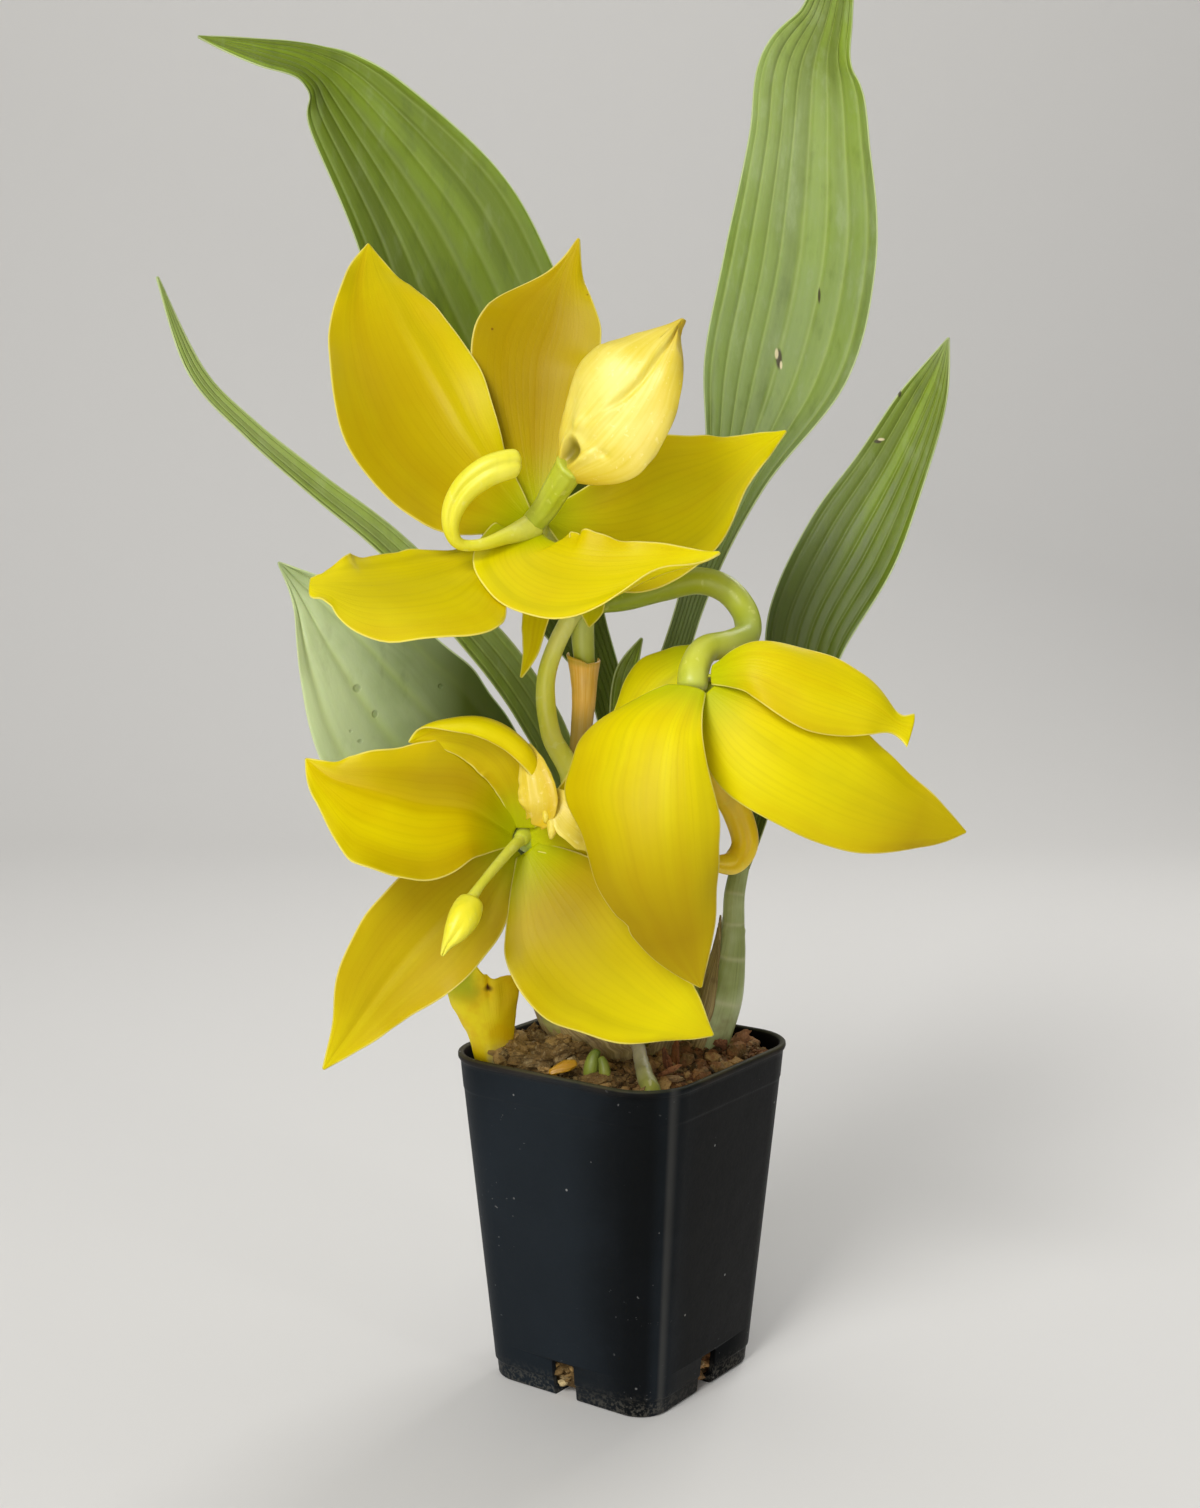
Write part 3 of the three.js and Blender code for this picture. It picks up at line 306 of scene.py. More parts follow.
mathSigns = {
    "add": "ADD", "sub": "SUBTRACT", "mul": "MULTIPLY", "truediv": "DIVIDE", "pow": "POWER", "gt": "GREATER_THAN",
    "lt": "LESS_THAN",
}
for sign, operation in mathSigns.items():
    setattr(Wire, f"__{sign}__", lambda a, b, kind=operation: a.bench.math(kind, a, b))
    setattr(Wire, f"__r{sign}__", lambda a, b, kind=operation: a.bench.math(kind, b, a))


class Bench:  # a node tree being put together, and the colour that it has laid so far
    def __init__(self, tree, look=None):
        self.tree, self.look, self.color = tree, look, None

    def node(self, kind, settings=None, sockets=None, out=0):
        made = self.tree.nodes.new(kind)
        for name, value in (settings or {}).items():
            if name == "stops":
                ramp = made.color_ramp
                while len(ramp.elements) < len(value):
                    ramp.elements.new(0.5)
                for element, (place, color) in zip(ramp.elements, value):
                    element.position, element.color = place, color
            else:
                setattr(made, name, value)
        for name, value in (sockets or {}).items():
            if isinstance(value, Wire):
                self.tree.links.new(value.socket, made.inputs[name])
            else:
                made.inputs[name].default_value = value
        return Wire(self, made.outputs[out]) if len(made.outputs) else made

    def shape(self, kind, sockets=None):
        return self.node("GeometryNode" + kind, None, sockets)

    def math(self, operation, a, b=0.0):
        return self.node("ShaderNodeMath", {"operation": operation}, {0: a, 1: b})

    def vector(self, operation, a, b, out=0):
        second = "Scale" if operation == "SCALE" else 1
        return self.node("ShaderNodeVectorMath", {"operation": operation}, {0: a, second: b}, out)

    def between(self, x, low, high):  # 0 below low, 1 above high, smooth between
        sockets = {"Value": x, "From Min": low, "From Max": high}
        return self.node("ShaderNodeMapRange", {"interpolation_type": "SMOOTHSTEP"}, sockets)

    def mark(self, name):
        return self.node("ShaderNodeAttribute", {"attribute_name": name}, out="Fac")

    def stored(self, name, kind="FLOAT"):
        return self.node("GeometryNodeInputNamedAttribute", {"data_type": kind}, {"Name": name})

    def drawn(self, low, high, seed):
        return self.node("FunctionNodeRandomValue", {"data_type": "FLOAT"}, {2: low, 3: high, "Seed": seed}, 1)

    def at(self, x, y, z=0.0):
        return self.node("ShaderNodeCombineXYZ", None, {0: x, 1: y, 2: z})

    def part(self, vector, axis):
        return self.node("ShaderNodeSeparateXYZ", None, {0: vector}, axis)

    def sheet(self):  # places across and along a piece
        across = self.part(self.node("ShaderNodeUVMap", {"uv_map": "UVMap"}), "X")
        return across, across.also("Y")

    def stretched(self, vector, scale, turn=(0.0, 0.0, 0.0)):
        return self.node("ShaderNodeMapping", None, {"Vector": vector, "Rotation": turn, "Scale": scale})

    def grain(self, vector, scale, detail=2.0, roughness=0.5):
        sockets = {"Vector": vector, "Scale": scale, "Detail": detail, "Roughness": roughness}
        return self.node("ShaderNodeTexNoise", None, sockets, "Fac")

    def cells(self, vector, scale):
        return self.node("ShaderNodeTexVoronoi", None, {"Vector": vector, "Scale": scale}, "Distance")

    def mix(self, factor, a, b):
        return self.node("ShaderNodeMix", {"data_type": "RGBA", "clamp_factor": True}, {0: factor, 6: a, 7: b}, 2)

    def start(self, factor, under, over):
        self.color = self.mix(factor, paint(self.look[under]), paint(self.look[over]))

    def lay(self, factor, over):
        self.color = self.mix(factor, self.color, paint(self.look[over]))

    def bump(self, height, strength, distance, onto=None):
        sockets = {"Height": height, "Strength": strength, "Distance": distance}
        return self.node("ShaderNodeBump", None, {**sockets, **({"Normal": onto} if onto else {})})

    def surface(self, rough, normal=None, under=None, shine=0.5):  # under: how light goes into the skin
        sockets = {"Base Color": self.color, "Roughness": rough, "Specular IOR Level": shine}
        if normal:
            sockets["Normal"] = normal
        if under:
            sockets.update(zip(("Subsurface Weight", "Subsurface Radius", "Subsurface Scale"), under))
        self.node("ShaderNodeOutputMaterial", None, {"Surface": self.node("ShaderNodeBsdfPrincipled", None, sockets)})
        return self.material


def paint(code):  # a screen colour such as e6c800, made linear
    parts = [int(code[i : i + 2], 16) / 255 for i in (0, 2, 4)]
    return tuple(c / 12.92 if c <= 0.04045 else ((c + 0.055) / 1.055) ** 2.4 for c in parts) + (1.0,)


def newFinish(name, look):
    material = bpy.data.materials.new(name)
    material.use_nodes = True
    material.node_tree.nodes.clear()
    bench = Bench(material.node_tree, look)
    bench.material = material
    return bench, bench.node("ShaderNodeTexCoord", out="Object")


petalLook = {
    "gold": "d0b600", "lemon": "e9dd00", "deep": "a48e00", "green": "a8b400", "rim": "f0e488", "speck": "7a4d0c",
    "amber": "8e6e00", "veins": 9, "rimWidth": 0.3, "pleats": 0.0005,
}


def petalFinish(name, look):
    bench, place = newFinish(name, look)
    across, along = bench.sheet()
    rim, reach, tone, inner, shade = (bench.mark(m) for m in ("rim", "reach", "tone", "inner", "shade"))
    soft = bench.grain(place, 34, 3)
    wobble = bench.grain(place, 50, 2)
    pleat = bench.grain(bench.at(across * 4.5 + wobble * 0.6, along * 0.8, tone * 9), 1.0, 2, 0.4)
    streak = bench.grain(bench.at(across * 22 + wobble * 0.8, along * 1.2, tone * 5), 1.0, 2, 0.5)
    fine = bench.grain(bench.at(across * 90 + wobble * 2, along * 7, tone * 7), 1.0, 2, 0.6)
    vein = bench.math("SINE", across * (2 * math.pi * look["veins"]) + wobble * 1.6) ** 10
    vein = vein * bench.between(rim, 0.8, 6) * (1 - bench.between(reach, 15, 75) * 0.7)
    bright = bench.between(soft * 0.45 + pleat * 0.5 + tone * 0.35, 0.45, 0.88)
    bench.start(bright, "gold", "lemon")
    # darker gold along the pleats: partly the tepal's own colour, partly painted shade of the folds
    bench.lay(bench.between(pleat, 0.5, 0.8) * 0.4, "deep")
    bench.lay(bench.between(streak, 0.5, 0.8) * 0.12, "deep")
    bench.lay(vein * 0.09, "deep")
    # painted shade: each tepal's shade mark darkens it towards amber where less light reaches it
    bench.lay(shade + (soft - 0.5) * 0.25, "amber")
    heart = (1 - bench.between(reach, 1, 16)) * 0.75
    bench.lay(heart, "green")
    cell = bench.cells(place, 105)
    rare = bench.between(bench.grain(place, 55, 1), 0.53, 0.58)
    speck = (1 - bench.between(cell, 0.028, 0.05)) * rare
    bench.lay(speck * 0.8, "speck")
    # a pale band along the edge: partly the paler margin, partly a painted edge highlight
    pale = 1 - bench.between(rim + wobble * 0.2, look["rimWidth"] * 0.5, look["rimWidth"] * 1.6)
    bench.lay(pale * 0.5, "rim")
    normal = bench.bump(pleat + streak * 0.15, 0.55, look["pleats"])
    normal = bench.bump(vein * -0.5 + fine * 0.35, 0.3, 0.0001, normal)
    normal = bench.bump(bench.grain(place, 2200, 1), 0.3, 0.00005, normal)
    return bench.surface(0.34 + fine * 0.15 + (1 - inner) * 0.05, normal, (0.2, (1.0, 0.9, 0.12), 0.002), 0.11)


petal = petalFinish("petal", petalLook)

# the shades rows of each tepal are painted shade, laid towards amber by the petal finish
topBloom = {
    "tepalLeft": {
        "shades": [0.35, [0.5, 0.5, 0.15], [0.3, 0.5, 0.15], [0.2, 0.35, 0.3], 0.2],
        "dents": [(0.42, 0.46, 0.2, 0.05, 0.9)], "tone": 0.35, "seed": 11, "wave": 0.8,
        "rows": [
            [-28, -42, 259, 3.5, 20], [-43, -44, 271, 22, 14, 25, 20], [-57, -41, 288, 25, 21, 35, 20],
            [-67, -34, 307, 16, 20, 30, 15], [-71, -28, 323, 7, 12, 20, 10], [-71, -22, 334, 0.4, 0],
        ],
        "face": [0.35, -0.9, 0.2],
    },
    "tepalTop": {
        "shades": [0.5, [0.6, 0.75, 0.5], [0.65, 0.75, 0.5], 0.4], "tone": 0.25, "seed": 12, "wave": 0.8,
        "rows": [
            [-24, -38, 262, 3, 20], [-25, -33, 280, 12, 11, 20, 20], [-25, -29, 300, 18, 17, 20, 25],
            [-21, -25, 313, 16.5, 15, 15, 25], [-17, -20, 326, 4, 6, 10, 10], [-13, -17, 336, 0.4, 0],
        ],
        "face": [0, -1, 0.1],
    },
    "tepalRight": {
        "shades": [0.4, [0.3, 0.15, 0.1], 0.15, 0.1], "tone": 0.55, "seed": 13, "wave": 0.8,
        "rows": [
            [-21, -39, 259, 3, 20], [-4, -35, 258, 14, 21, 20, 20], [14, -31, 263, 20, 19, 20, 20],
            [30, -27, 272, 12.5, 6.5, 15, 15], [39, -23, 279, 4.5, 3, 10, 10], [45, -20, 283, 0.4, 0],
        ],
        "face": [-0.2, -0.95, 0.2],
    },
    "tepalLowLeft": {
        "shades": [0.25, [0.2, 0.3, 0.2], [0.1, 0.3, 0.1], 0.1], "tone": 0.6, "seed": 14, "wave": 1,
        "rows": [
            [-30, -42.5, 254, 3.5, 15], [-42, -50, 247.4, 14.5, 9, 0, 10], [-54, -60.5, 243.5, 31, 14, 0, 10],
            [-67, -70, 242, 26, 14, 0, 15], [-77, -73, 242.4, 10.5, 7, 5, 20],
            [-81.6, -73.5, 242.6, 3.6, 3.2, 0, 0],
        ],
        "face": [[-0.2, -0.6, 0.75], [0, -0.5, 0.85]],
    },
    "tepalLowRight": {
        "shades": [[0.3, 0.25, 0.1], [0.25, 0.2, 0], [0.2, 0.1, 0], 0], "tone": 0.6, "seed": 15, "wave": 1,
        "rows": [
            [-27.5, -45.5, 255.5, 5, 8, 20, 20], [-27, -54.5, 248.8, 14, 14.5, 15, 10],
            [-17, -60.8, 244, 15.3, 17, 20, 15], [-3, -62.5, 243.8, 12.5, 10, 30, 50],
            [11, -61, 247, 6.5, 6, 40, 110], [24.5, -58, 250.4, 0.4, 0],
        ],
        "face": [[0.1, -0.7, 0.7], [-0.1, -0.75, 0.65]],
    },
}

lowBloom = {
    "tepalLeft": {
        "shades": [0.6, [0.5, 0.2, 0.6, 0.3], [0.4, 0, 0.55, 0.3], [0.2, 0, 0.4, 0.1], 0], "tone": 0.5,
        "seed": 21, "wave": 0.8, "fold": 0.1, "crease": 0.7,
        "rows": [
            [-31, -47, 173, 3.5, 20], [-42, -56, 181, 15, 17, 20, 20], [-55, -62, 184, 24, 17, 20, 20],
            [-68, -65, 188, 23, 11, 20, 15], [-78, -65, 191, 9, 6, 15, 10], [-85, -63, 196, 0.4, 0],
        ],
        "face": [0.15, -0.85, 0.5],
    },
    "tepalLowLeft": {
        "shades": [0.5, 0.55, [0.35, 0.45, 0.3], 0.1], "tone": 0.45, "seed": 22, "wave": 0.6, "crease": 0.5,
        "rows": [
            [-31, -45, 169, 3.5, 20], [-43, -50, 158, 14, 14, 25, 20], [-55, -54, 146, 16, 17, 25, 25],
            [-66, -56, 133, 12, 14, 20, 20], [-75, -56, 120, 6, 10], [-83, -54, 109, 0.4, 0],
        ],
        "face": [0.2, -0.95, 0.2],
    },
    "tepalLowRight": {
        "shades": [0.7, [0.75, 0.75, 0.6], [0.3, 0.4, 0.35], [0, 0, 0.05], 0], "tone": 0.6, "seed": 23,
        "wave": 0.8,
        "rows": [
            [-27, -46, 168, 4.5, 3.5, 20, 20], [-18, -54, 156, 16.5, 18, 20, 20], [-9, -59, 144, 18, 23, 15, 25],
            [3, -59, 133, 15, 17, 15, 25], [15, -56, 124, 8, 8, 10, 15], [24, -52, 118, 0.4, 0],
        ],
        "face": [-0.2, -0.95, 0.2],
    },
    "tepalTop": {
        "shades": [0.3, [0.3, 0.2, 0], [0.3, 0.1, 0], 0], "seed": 24, "roll": 1.5,
        "rows": [
            [-28, -46, 175, 3.2, 3.2, 10, 20], [-28, -50, 186, 7, 9.5, 10, 120],
            [-32, -53, 196, 9, 15.5, 10, 200], [-40, -55, 201.6, 8, 14.5, 10, 205],
            [-49, -57, 202.5, 5, 9, 10, 160], [-58, -57, 200, 0.4, 0],
        ],
        "face": [[0, -1, 0], [0.1, -0.9, -0.3]],
    },
    "tepalRight": {
        "shades": [0.4, 0.3, 0.2], "seed": 25, "wave": 0.8,
        "rows": [
            [-26, -45, 171, 3, 20], [-16, -49, 175.5, 9, 20], [-6, -52, 181.5, 14, 13, 20, 20],
            [4, -52, 187, 11, 15], [12, -50, 192, 5.5, 10], [18, -48, 196, 0.4, 0],
        ],
        "face": [0, -0.95, 0.3],
    },
}

rightBloom = {
    "tepalFront": {
        "nicks": [(0.37, -1, -4.5, 0.07), (0.73, -1, 1.2, 0.02)],
        "shades": [0, [0.15, 0, 0.1], [0.5, 0.25, 0.4], [0.75, 0.55, 0.6], [0.85, 0.85, 0.7], 0.6],
        "tone": 0.65, "seed": 31, "wave": 0.8,
        "rows": [
            [17.5, -56.5, 214.5, 7, 4, 20, 20], [10.5, -69.5, 204, 26.5, 10, 35, 30],
            [7, -78, 185, 23, 17, 40, 30], [9, -78, 167, 19, 16, 35, 30], [14, -72, 149, 11, 10, 25, 25],
            [20, -66, 135, 0.4, 0],
        ],
        "face": [[0.2, 0.7, -0.6], [0.1, 1, 0]],
    },
    "tepalLowRight": {
        "shades": [0.1, 0, [0.15, 0.05], [0.65, 0.5], 0.5], "tone": 0.6, "seed": 32, "wave": 0.6,
        "rows": [
            [22, -56, 213, 5.5, 3.5, 20, 20], [34, -62, 203, 16.8, 17, 25, 25], [50, -63, 193, 17, 20, 25, 30],
            [67, -58, 184, 15, 14, 20, 25], [83, -52, 177, 7, 10], [93, -48, 174, 0.4, 0],
        ],
        "face": [[0.2, 0.8, -0.4], [-0.1, 1, -0.1]],
    },
    "tepalTopRight": {
        "shades": [0.05, 0.1, 0.15, 0.05], "tone": 0.55, "seed": 33, "wave": 0.8,
        "rows": [
            [23, -54, 218, 3.2, 20], [34, -60, 221, 8, 25], [49, -62, 216, 12, 11, 35, 25],
            [64, -60, 210, 9, 8, 30, 20], [72, -57, 205, 3, 10], [76.5, -56, 203, 5, 10],
        ],
        "face": [[0, 0.8, -0.5], [0, 0.9, -0.4]],
    },
    "tepalTopLeft": {
        "tone": 1.0, "seed": 34,
        "rows": [
            [21, -42.5, 221.5, 5.5, 3.2, 20, 20], [10.5, -44.5, 214, 11, 9.5, 20, 30],
            [3, -44, 204, 8, 8, 20, 30], [-3, -43, 194, 5, 6, 20, 20], [-9, -43, 185, 0.4, 0],
        ],
        "face": [[0.1, 0.9, -0.5], [0.3, 0.9, -0.2]],
    },
    "tepalBack": {
        "shades": [0.4], "seed": 35,
        "rows": [
            [21, -50, 217, 3, 20], [31, -36, 215, 13, 25], [43, -25, 209, 16, 30], [56, -18, 201, 11, 25],
            [68, -15, 192, 0.4, 0],
        ],
        "face": [[0.4, 0.3, -0.85], [-0.3, -0.3, -0.9]],
    },
}

for bloom, tepals in (("top", topBloom), ("low", lowBloom), ("right", rightBloom)):
    for part, spec in tepals.items():
        name = bloom + part[0].upper() + part[1:]
        settle(blade(name, spec, petal), "petal", nodeOf(name))
print("tepals made")


leafLook = {
    "green": "66780c", "fresh": "809812", "grey": "80915a", "pale": "a9b688", "dark": "3a4a12", "vein": "a3b45a",
    "rim": "c4cd9a", "shadeOlive": "414e00", "wax": "ccd8a0", "mark": "33230e", "cut": "d8c9a0",
    "pleatDepth": 0.0004, "rimWidth": 0.36,
}


def leafFinish(name, look, marksAt):
    bench, place = newFinish(name, look)
    across, along = bench.sheet()
    rim, tone, inner, lines, shade = (bench.mark(m) for m in ("rim", "tone", "inner", "lines", "shade"))
    soft = bench.grain(place, 24, 4, 0.6)
    mottle = bench.grain(bench.stretched(place, (170.0, 170.0, 60.0)), 1.0, 4, 0.65)
    wobble = bench.grain(place, 60, 2)
    broad = bench.grain(bench.at(across * lines * 0.6 + wobble * 0.5, along * 1.6, tone * 9), 1.0, 2, 0.5)
    streak = bench.grain(bench.at(across * lines * 2.4 + wobble, along * 2.6, tone * 7), 1.0, 3, 0.6)
    fine = bench.grain(bench.at(across * lines * 4, along * 9, tone * 5), 1.0, 2, 0.5)
    main = bench.math("SINE", across * lines * math.pi + 0.12 * (wobble - 0.5)) ** 12
    minor = bench.math("SINE", across * lines * (3 * math.pi) + 0.5 * wobble) ** 8
    waxy = bench.between(tone * 0.9 + soft * 0.4 + mottle * 0.3 + (0.5 - along) * 0.5, 0.5, 1.2)
    bench.start(bench.between(broad, 0.35, 0.65), "green", "fresh")
    bench.lay(waxy, "grey")
    bench.lay(bench.between(tone, 0.7, 1.0) * bench.between(soft, 0.3, 0.6) * 0.8, "pale")
    bench.lay(bench.between(mottle, 0.52, 0.72) * 0.2, "pale")
    bench.lay(bench.between(streak, 0.5, 0.8) * 0.25, "dark")
    bench.lay(bench.between(mottle, 0.48, 0.3) * 0.25, "dark")
    bench.lay(main * 0.3 + minor * 0.05, "vein")
    # painted shade towards olive where the shade mark is above zero, painted highlight towards a pale wash where it
    # is below zero
    bench.lay(shade + (soft - 0.5) * 0.3, "shadeOlive")
    bench.lay(shade * -1.0 + (soft - 0.5) * 0.2, "wax")
    bench.lay((1 - inner) * 0.3, "grey")
    pale = 1 - bench.between(rim, look["rimWidth"] * 0.4, look["rimWidth"])
    bench.lay(pale * 0.7, "rim")
    dent = 0.0
    for spot, size, hue in marksAt:  # brown or pale marks and small dents, each at its own place
        gap = bench.vector("SUBTRACT", place, tuple(p * mm for p in spot))
        gap = bench.vector("MULTIPLY", gap, tuple(1 / (k * mm) for k in size))
        away = bench.vector("LENGTH", gap, (0, 0, 0), "Value")
        stain = 1 - bench.between(away + (wobble - 0.5) * 0.5, 0.55, 1.0)
        if hue == "dent":
            dent = dent + stain
            # painted shade in the dent's hollow
            bench.lay(stain * 0.35, "dark")
        else:
            bench.lay(stain * 0.9, hue)
    height = broad * 0.8 - main * 0.9 - streak * 0.3 + mottle * 0.5 - dent
    normal = bench.bump(height, 0.7, look["pleatDepth"])
    normal = bench.bump(fine, 0.25, 0.0001, normal)
    return bench.surface(0.4 + mottle * 0.2 + waxy * 0.08, normal, (0.12, (0.5, 1.0, 0.15), 0.0015), 0.42)


leafMarks = [
    ((46.6, 24, 305.4), (1.2, 9, 3.9), "mark"), ((45.9, 24, 307), (0.7, 9, 2), "cut"),
    ((47.2, 24, 303.6), (0.5, 9, 1.6), "cut"), ((58.3, 25, 323.8), (0.55, 9, 3.2), "mark"),
    ((76.6, 20, 281), (1.7, 9, 0.8), "mark"), ((77.6, 20, 281.6), (1.4, 9, 0.6), "cut"),
    ((82.6, 20, 295), (0.7, 9, 1.3), "mark"), ((-77, -10, 210), (1.4, 9, 1.4), "dent"),
    ((-72, -10, 202.5), (1, 9, 1.3), "dent"), ((-78.6, -10, 198), (0.9, 9, 0.9), "dent"),
    ((-76, -10, 195), (1.2, 9, 1), "dent"), ((-53.4, -9, 210), (0.9, 9, 0.9), "dent"),
]
leafGreen = leafFinish("leafGreen", leafLook, leafMarks)

# each leaf's shades rows are painted shade; below zero they are painted highlight
leaves = {
    "leafTallLeft": {
        "shades": [0.7, 0.7, [0.6, 0.5, 0.6], [0.55, 0.45, 0.3], [0.3, 0.15], 0], "tone": 0.12,
        "seed": 41, "wave": 1.2, "lines": 8, "pleat": 0.26,
        "rows": [
            [1, 9, 164, 5, 60], [-4, 11, 205, 7, 4.6, 50, 40], [-16, 11, 236, 15, 10, 25, 25],
            [-28, 12, 278, 25, 24, 18, 18], [-45, 10, 316, 27, 29, 14, 18], [-60, 6, 345, 20, 27, 10, 25],
            [-79, 0, 374, 13, 16, 15, 30], [-88, -5, 384, 7, 8, 20, 30], [-101, -10, 388, 6, 4, 10, 20],
            [-118, -14, 391, 0.4, 0],
        ],
        "face": [[0.1, -0.9, 0.3], [0.1, -0.95, 0.2], [0.1, -0.8, 0.5]],
    },
    "leafNarrowLeft": {
        "shades": [0.1, 0, -0.1, -0.2, -0.2], "tone": 0.4, "seed": 42,
        "wave": 0.5, "lines": 4, "pleat": 0.25, "along": 90, "across": 16,
        "rows": [
            [-8, 1, 160, 5, 55], [-16, -1, 178, 6, 50], [-24, -3, 197, 7, 45], [-36, -7, 216, 7, 40],
            [-52, -11, 235, 6, 35], [-68, -15, 252, 5, 35], [-86, -20, 267, 4, 30], [-104, -26, 283, 3.2, 30],
            [-118, -30, 299, 2.6, 20], [-127, -34, 324, 0.4, 0],
        ],
        "face": [[0.3, -0.9, 0.3], [0.3, -0.8, 0.5]],
    },
    "leafLowLeft": {
        "shades": [0.8, [0.7, 1, 1.2], [0, 0.6, 1.2], [-0.5, 0, 0.7], [-0.6, -0.3], -0.1], "tone": 0.95,
        "seed": 43, "wave": 1.5, "waves": 2, "lines": 4, "pleat": 0.35,
        "rows": [
            [-11, -2, 146, 5, 60], [-31, -5, 168, 14, 30], [-50, -8, 187, 25, 22, 20, 25],
            [-65, -10, 203, 29, 23, 15, 25], [-80, -12, 222, 17.5, 18, 10, 20],
            [-91.5, -12, 236, 4.5, 8.5, 5, 10], [-99, -12, 246, 0.4, 0],
        ],
        "face": [[0.3, -0.9, 0.3], [0.1, -0.95, 0.3]],
    },
    "leafTallRight": {
        "shades": [0.6, 0.5, [0.1, 0.15], -0.1, [-0.15, 0], 0], "tone": 0.55,
        "seed": 44, "wave": 1.2, "lines": 8, "pleat": 0.26,
        "rows": [
            [5, 8, 164, 5, 70], [11, 12, 200, 5.5, 60], [21, 16, 234, 4.8, 50], [33, 20, 269, 9.5, 10.5, 30, 35],
            [42, 24, 302, 18, 27, 15, 35], [49, 26, 335, 19, 29, 12, 45], [52, 24, 369, 15, 23, 12, 45],
            [53.5, 20, 389, 14, 16.5, 10, 35], [57.5, 13, 402, 7, 9, 8, 20], [60.5, 7, 414, 5, 5.4, 8, 20],
            [64, 2, 426, 0.4, 0],
        ],
        "face": [[-0.2, -0.95, 0], [-0.1, -0.95, 0.1], [0, -0.9, 0.3]],
    },
    "leafRight": {
        "shades": [0.8, 0.8, [0.85, 0.8], [0.75, 0.7], 0.2, -0.3], "tone": 0.3,
        "seed": 45, "wave": 0.9, "lines": 7, "pleat": 0.2,
        "rows": [
            [36, 7, 154, 3.6, 80], [40, 9, 166, 4, 70], [45, 11, 185, 6, 5.5, 50, 50], [52, 14, 207, 10, 35],
            [58, 17, 228, 14, 13, 20, 22], [70, 20, 250, 16, 14, 12, 18], [82, 22, 272, 12.5, 10, 12, 18],
            [92, 20, 295, 8, 5, 12, 12], [96, 16, 311, 0.4, 0],
        ],
        "face": [[-0.3, -0.9, 0.2], [-0.2, -0.95, 0.2]],
    },
    "leafHidden": {
        "seed": 46, "lines": 4, "pleat": 0.25, "along": 30, "across": 12,
        "rows": [
            [5, 0, 163, 3, 60], [17, 0, 170, 4, 50], [28, 4, 180, 5, 35], [34, 6, 192, 5, 25],
            [39, 8, 206, 0.4, 0],
        ],
        "face": [-0.5, -0.85, 0.2],
    },
    "leafYoung": {
        "tone": 0.3, "seed": 47, "lines": 4, "pleat": 0.25, "along": 30, "across": 12,
        "rows": [
            [-1, -1, 168, 2.5, 60], [-2, -5, 188, 3, 50], [-1, -6, 203, 3.6, 40], [1, -7, 214, 3.8, 3, 30, 30],
            [5, -9, 224, 0.4, 0],
        ],
        "face": [0.1, -1, 0.1],
    },
}
for name, spec in leaves.items():
    piece = blade(name, {"thickness": 0.8, **spec}, leafGreen, spec.get("along", 110), spec.get("across", 40))
    settle(piece, "leaf_green", nodeOf(name))
print("leaves made")


paperLook = {
    "sheath": {"base": "8f7a44", "light": "c6b078", "dark": "573c28", "lines": 11, "rough": 0.7, "worn": 0.5},
    "orange": {
        "base": "f4b838", "light": "ffd474", "dark": "c09a38", "lines": 8, "rough": 0.45, "worn": 0.15,
        "foot": "94803a", "top": "c8a426",
    },
}


def paperFinish(name, look):
    bench, place = newFinish(name, look)
    across, along = bench.sheet()
    wobble = bench.grain(place, 120, 2)
    fibre = bench.grain(bench.at(across * 50 + wobble * 2, along * 2, 0.0), 1.0, 4, 0.65)
    patch = bench.grain(place, 150, 3, 0.6)
    line = bench.math("SINE", across * (2 * math.pi * look["lines"] / 2) + wobble * 2) ** 6
    bench.start(bench.between(fibre, 0.35, 0.7), "base", "light")
    bench.lay(bench.between(patch, 0.5, 0.75) * look["worn"], "dark")
    bench.lay(line * look["worn"] * 0.5, "dark")
    if "foot" in look:
        bench.lay((1 - bench.between(along, 0.25, 0.55)) * 0.8, "foot")
        bench.lay(bench.between(along + wobble * 0.1, 0.9, 1.0) * 0.8, "top")
    normal = bench.bump(fibre - line * 0.5, look["worn"], 0.00025)
    return bench.surface(look["rough"] - fibre * 0.1, normal, (0.1, (1.0, 0.7, 0.3), 0.001))


dry, orange = (paperFinish(name, paperLook[name]) for name in ("sheath", "orange"))
stubLook = {
    "yellow": "e8c400", "bright": "f2dc10", "green": "96b010", "amber": "cf9f00", "grey": "b4ab90",
    "brown": "5a300a",
}


def stubFinish(name, look):
    bench, place = newFinish(name, look)
    across, along = bench.sheet()
    rim = bench.mark("rim")
    soft = bench.grain(place, 120, 3, 0.6)
    fine = bench.grain(bench.at(across * 60 + soft * 2, along * 4), 1.0, 3, 0.6)
    bench.start(bench.between(soft, 0.35, 0.65), "yellow", "bright")
    bench.lay(bench.between(across + soft * 0.3, 0.6, 1.0) * 0.45, "amber")
    lobe = bench.between(along, 0.6, 0.8) * (1 - bench.between(across + soft * 0.2, 0.4, 0.6))
    bench.lay(lobe * 0.7, "green")
    bench.lay(bench.between(fine, 0.55, 0.8) * 0.3, "amber")
    low = 1 - bench.between(along + soft * 0.2, 0.22, 0.45)
    bench.lay(low * bench.between(soft, 0.35, 0.55) * bench.between(across, 0.3, 0.5) * 0.9, "grey")
    # a dark brown oval at the slit: painted shade inside the opening, together with the brown spot there
    away = bench.vector("DISTANCE", bench.at(across, along * 2.2), (0.56, 1.7, 0.0), "Value")
    slit = 1 - bench.between(away + soft * 0.08, 0.05, 0.12)
    edge = (1 - bench.between(rim, 0.1, 0.5)) * bench.between(along, 0.8, 0.9)
    bench.lay(slit + edge * 0.5, "brown")
    normal = bench.bump(fine + soft, 0.5, 0.00025)
    return bench.surface(0.36 + fine * 0.15, normal, (0.15, (1.0, 0.8, 0.1), 0.002), 0.2)


stubYellow = stubFinish("stub", stubLook)

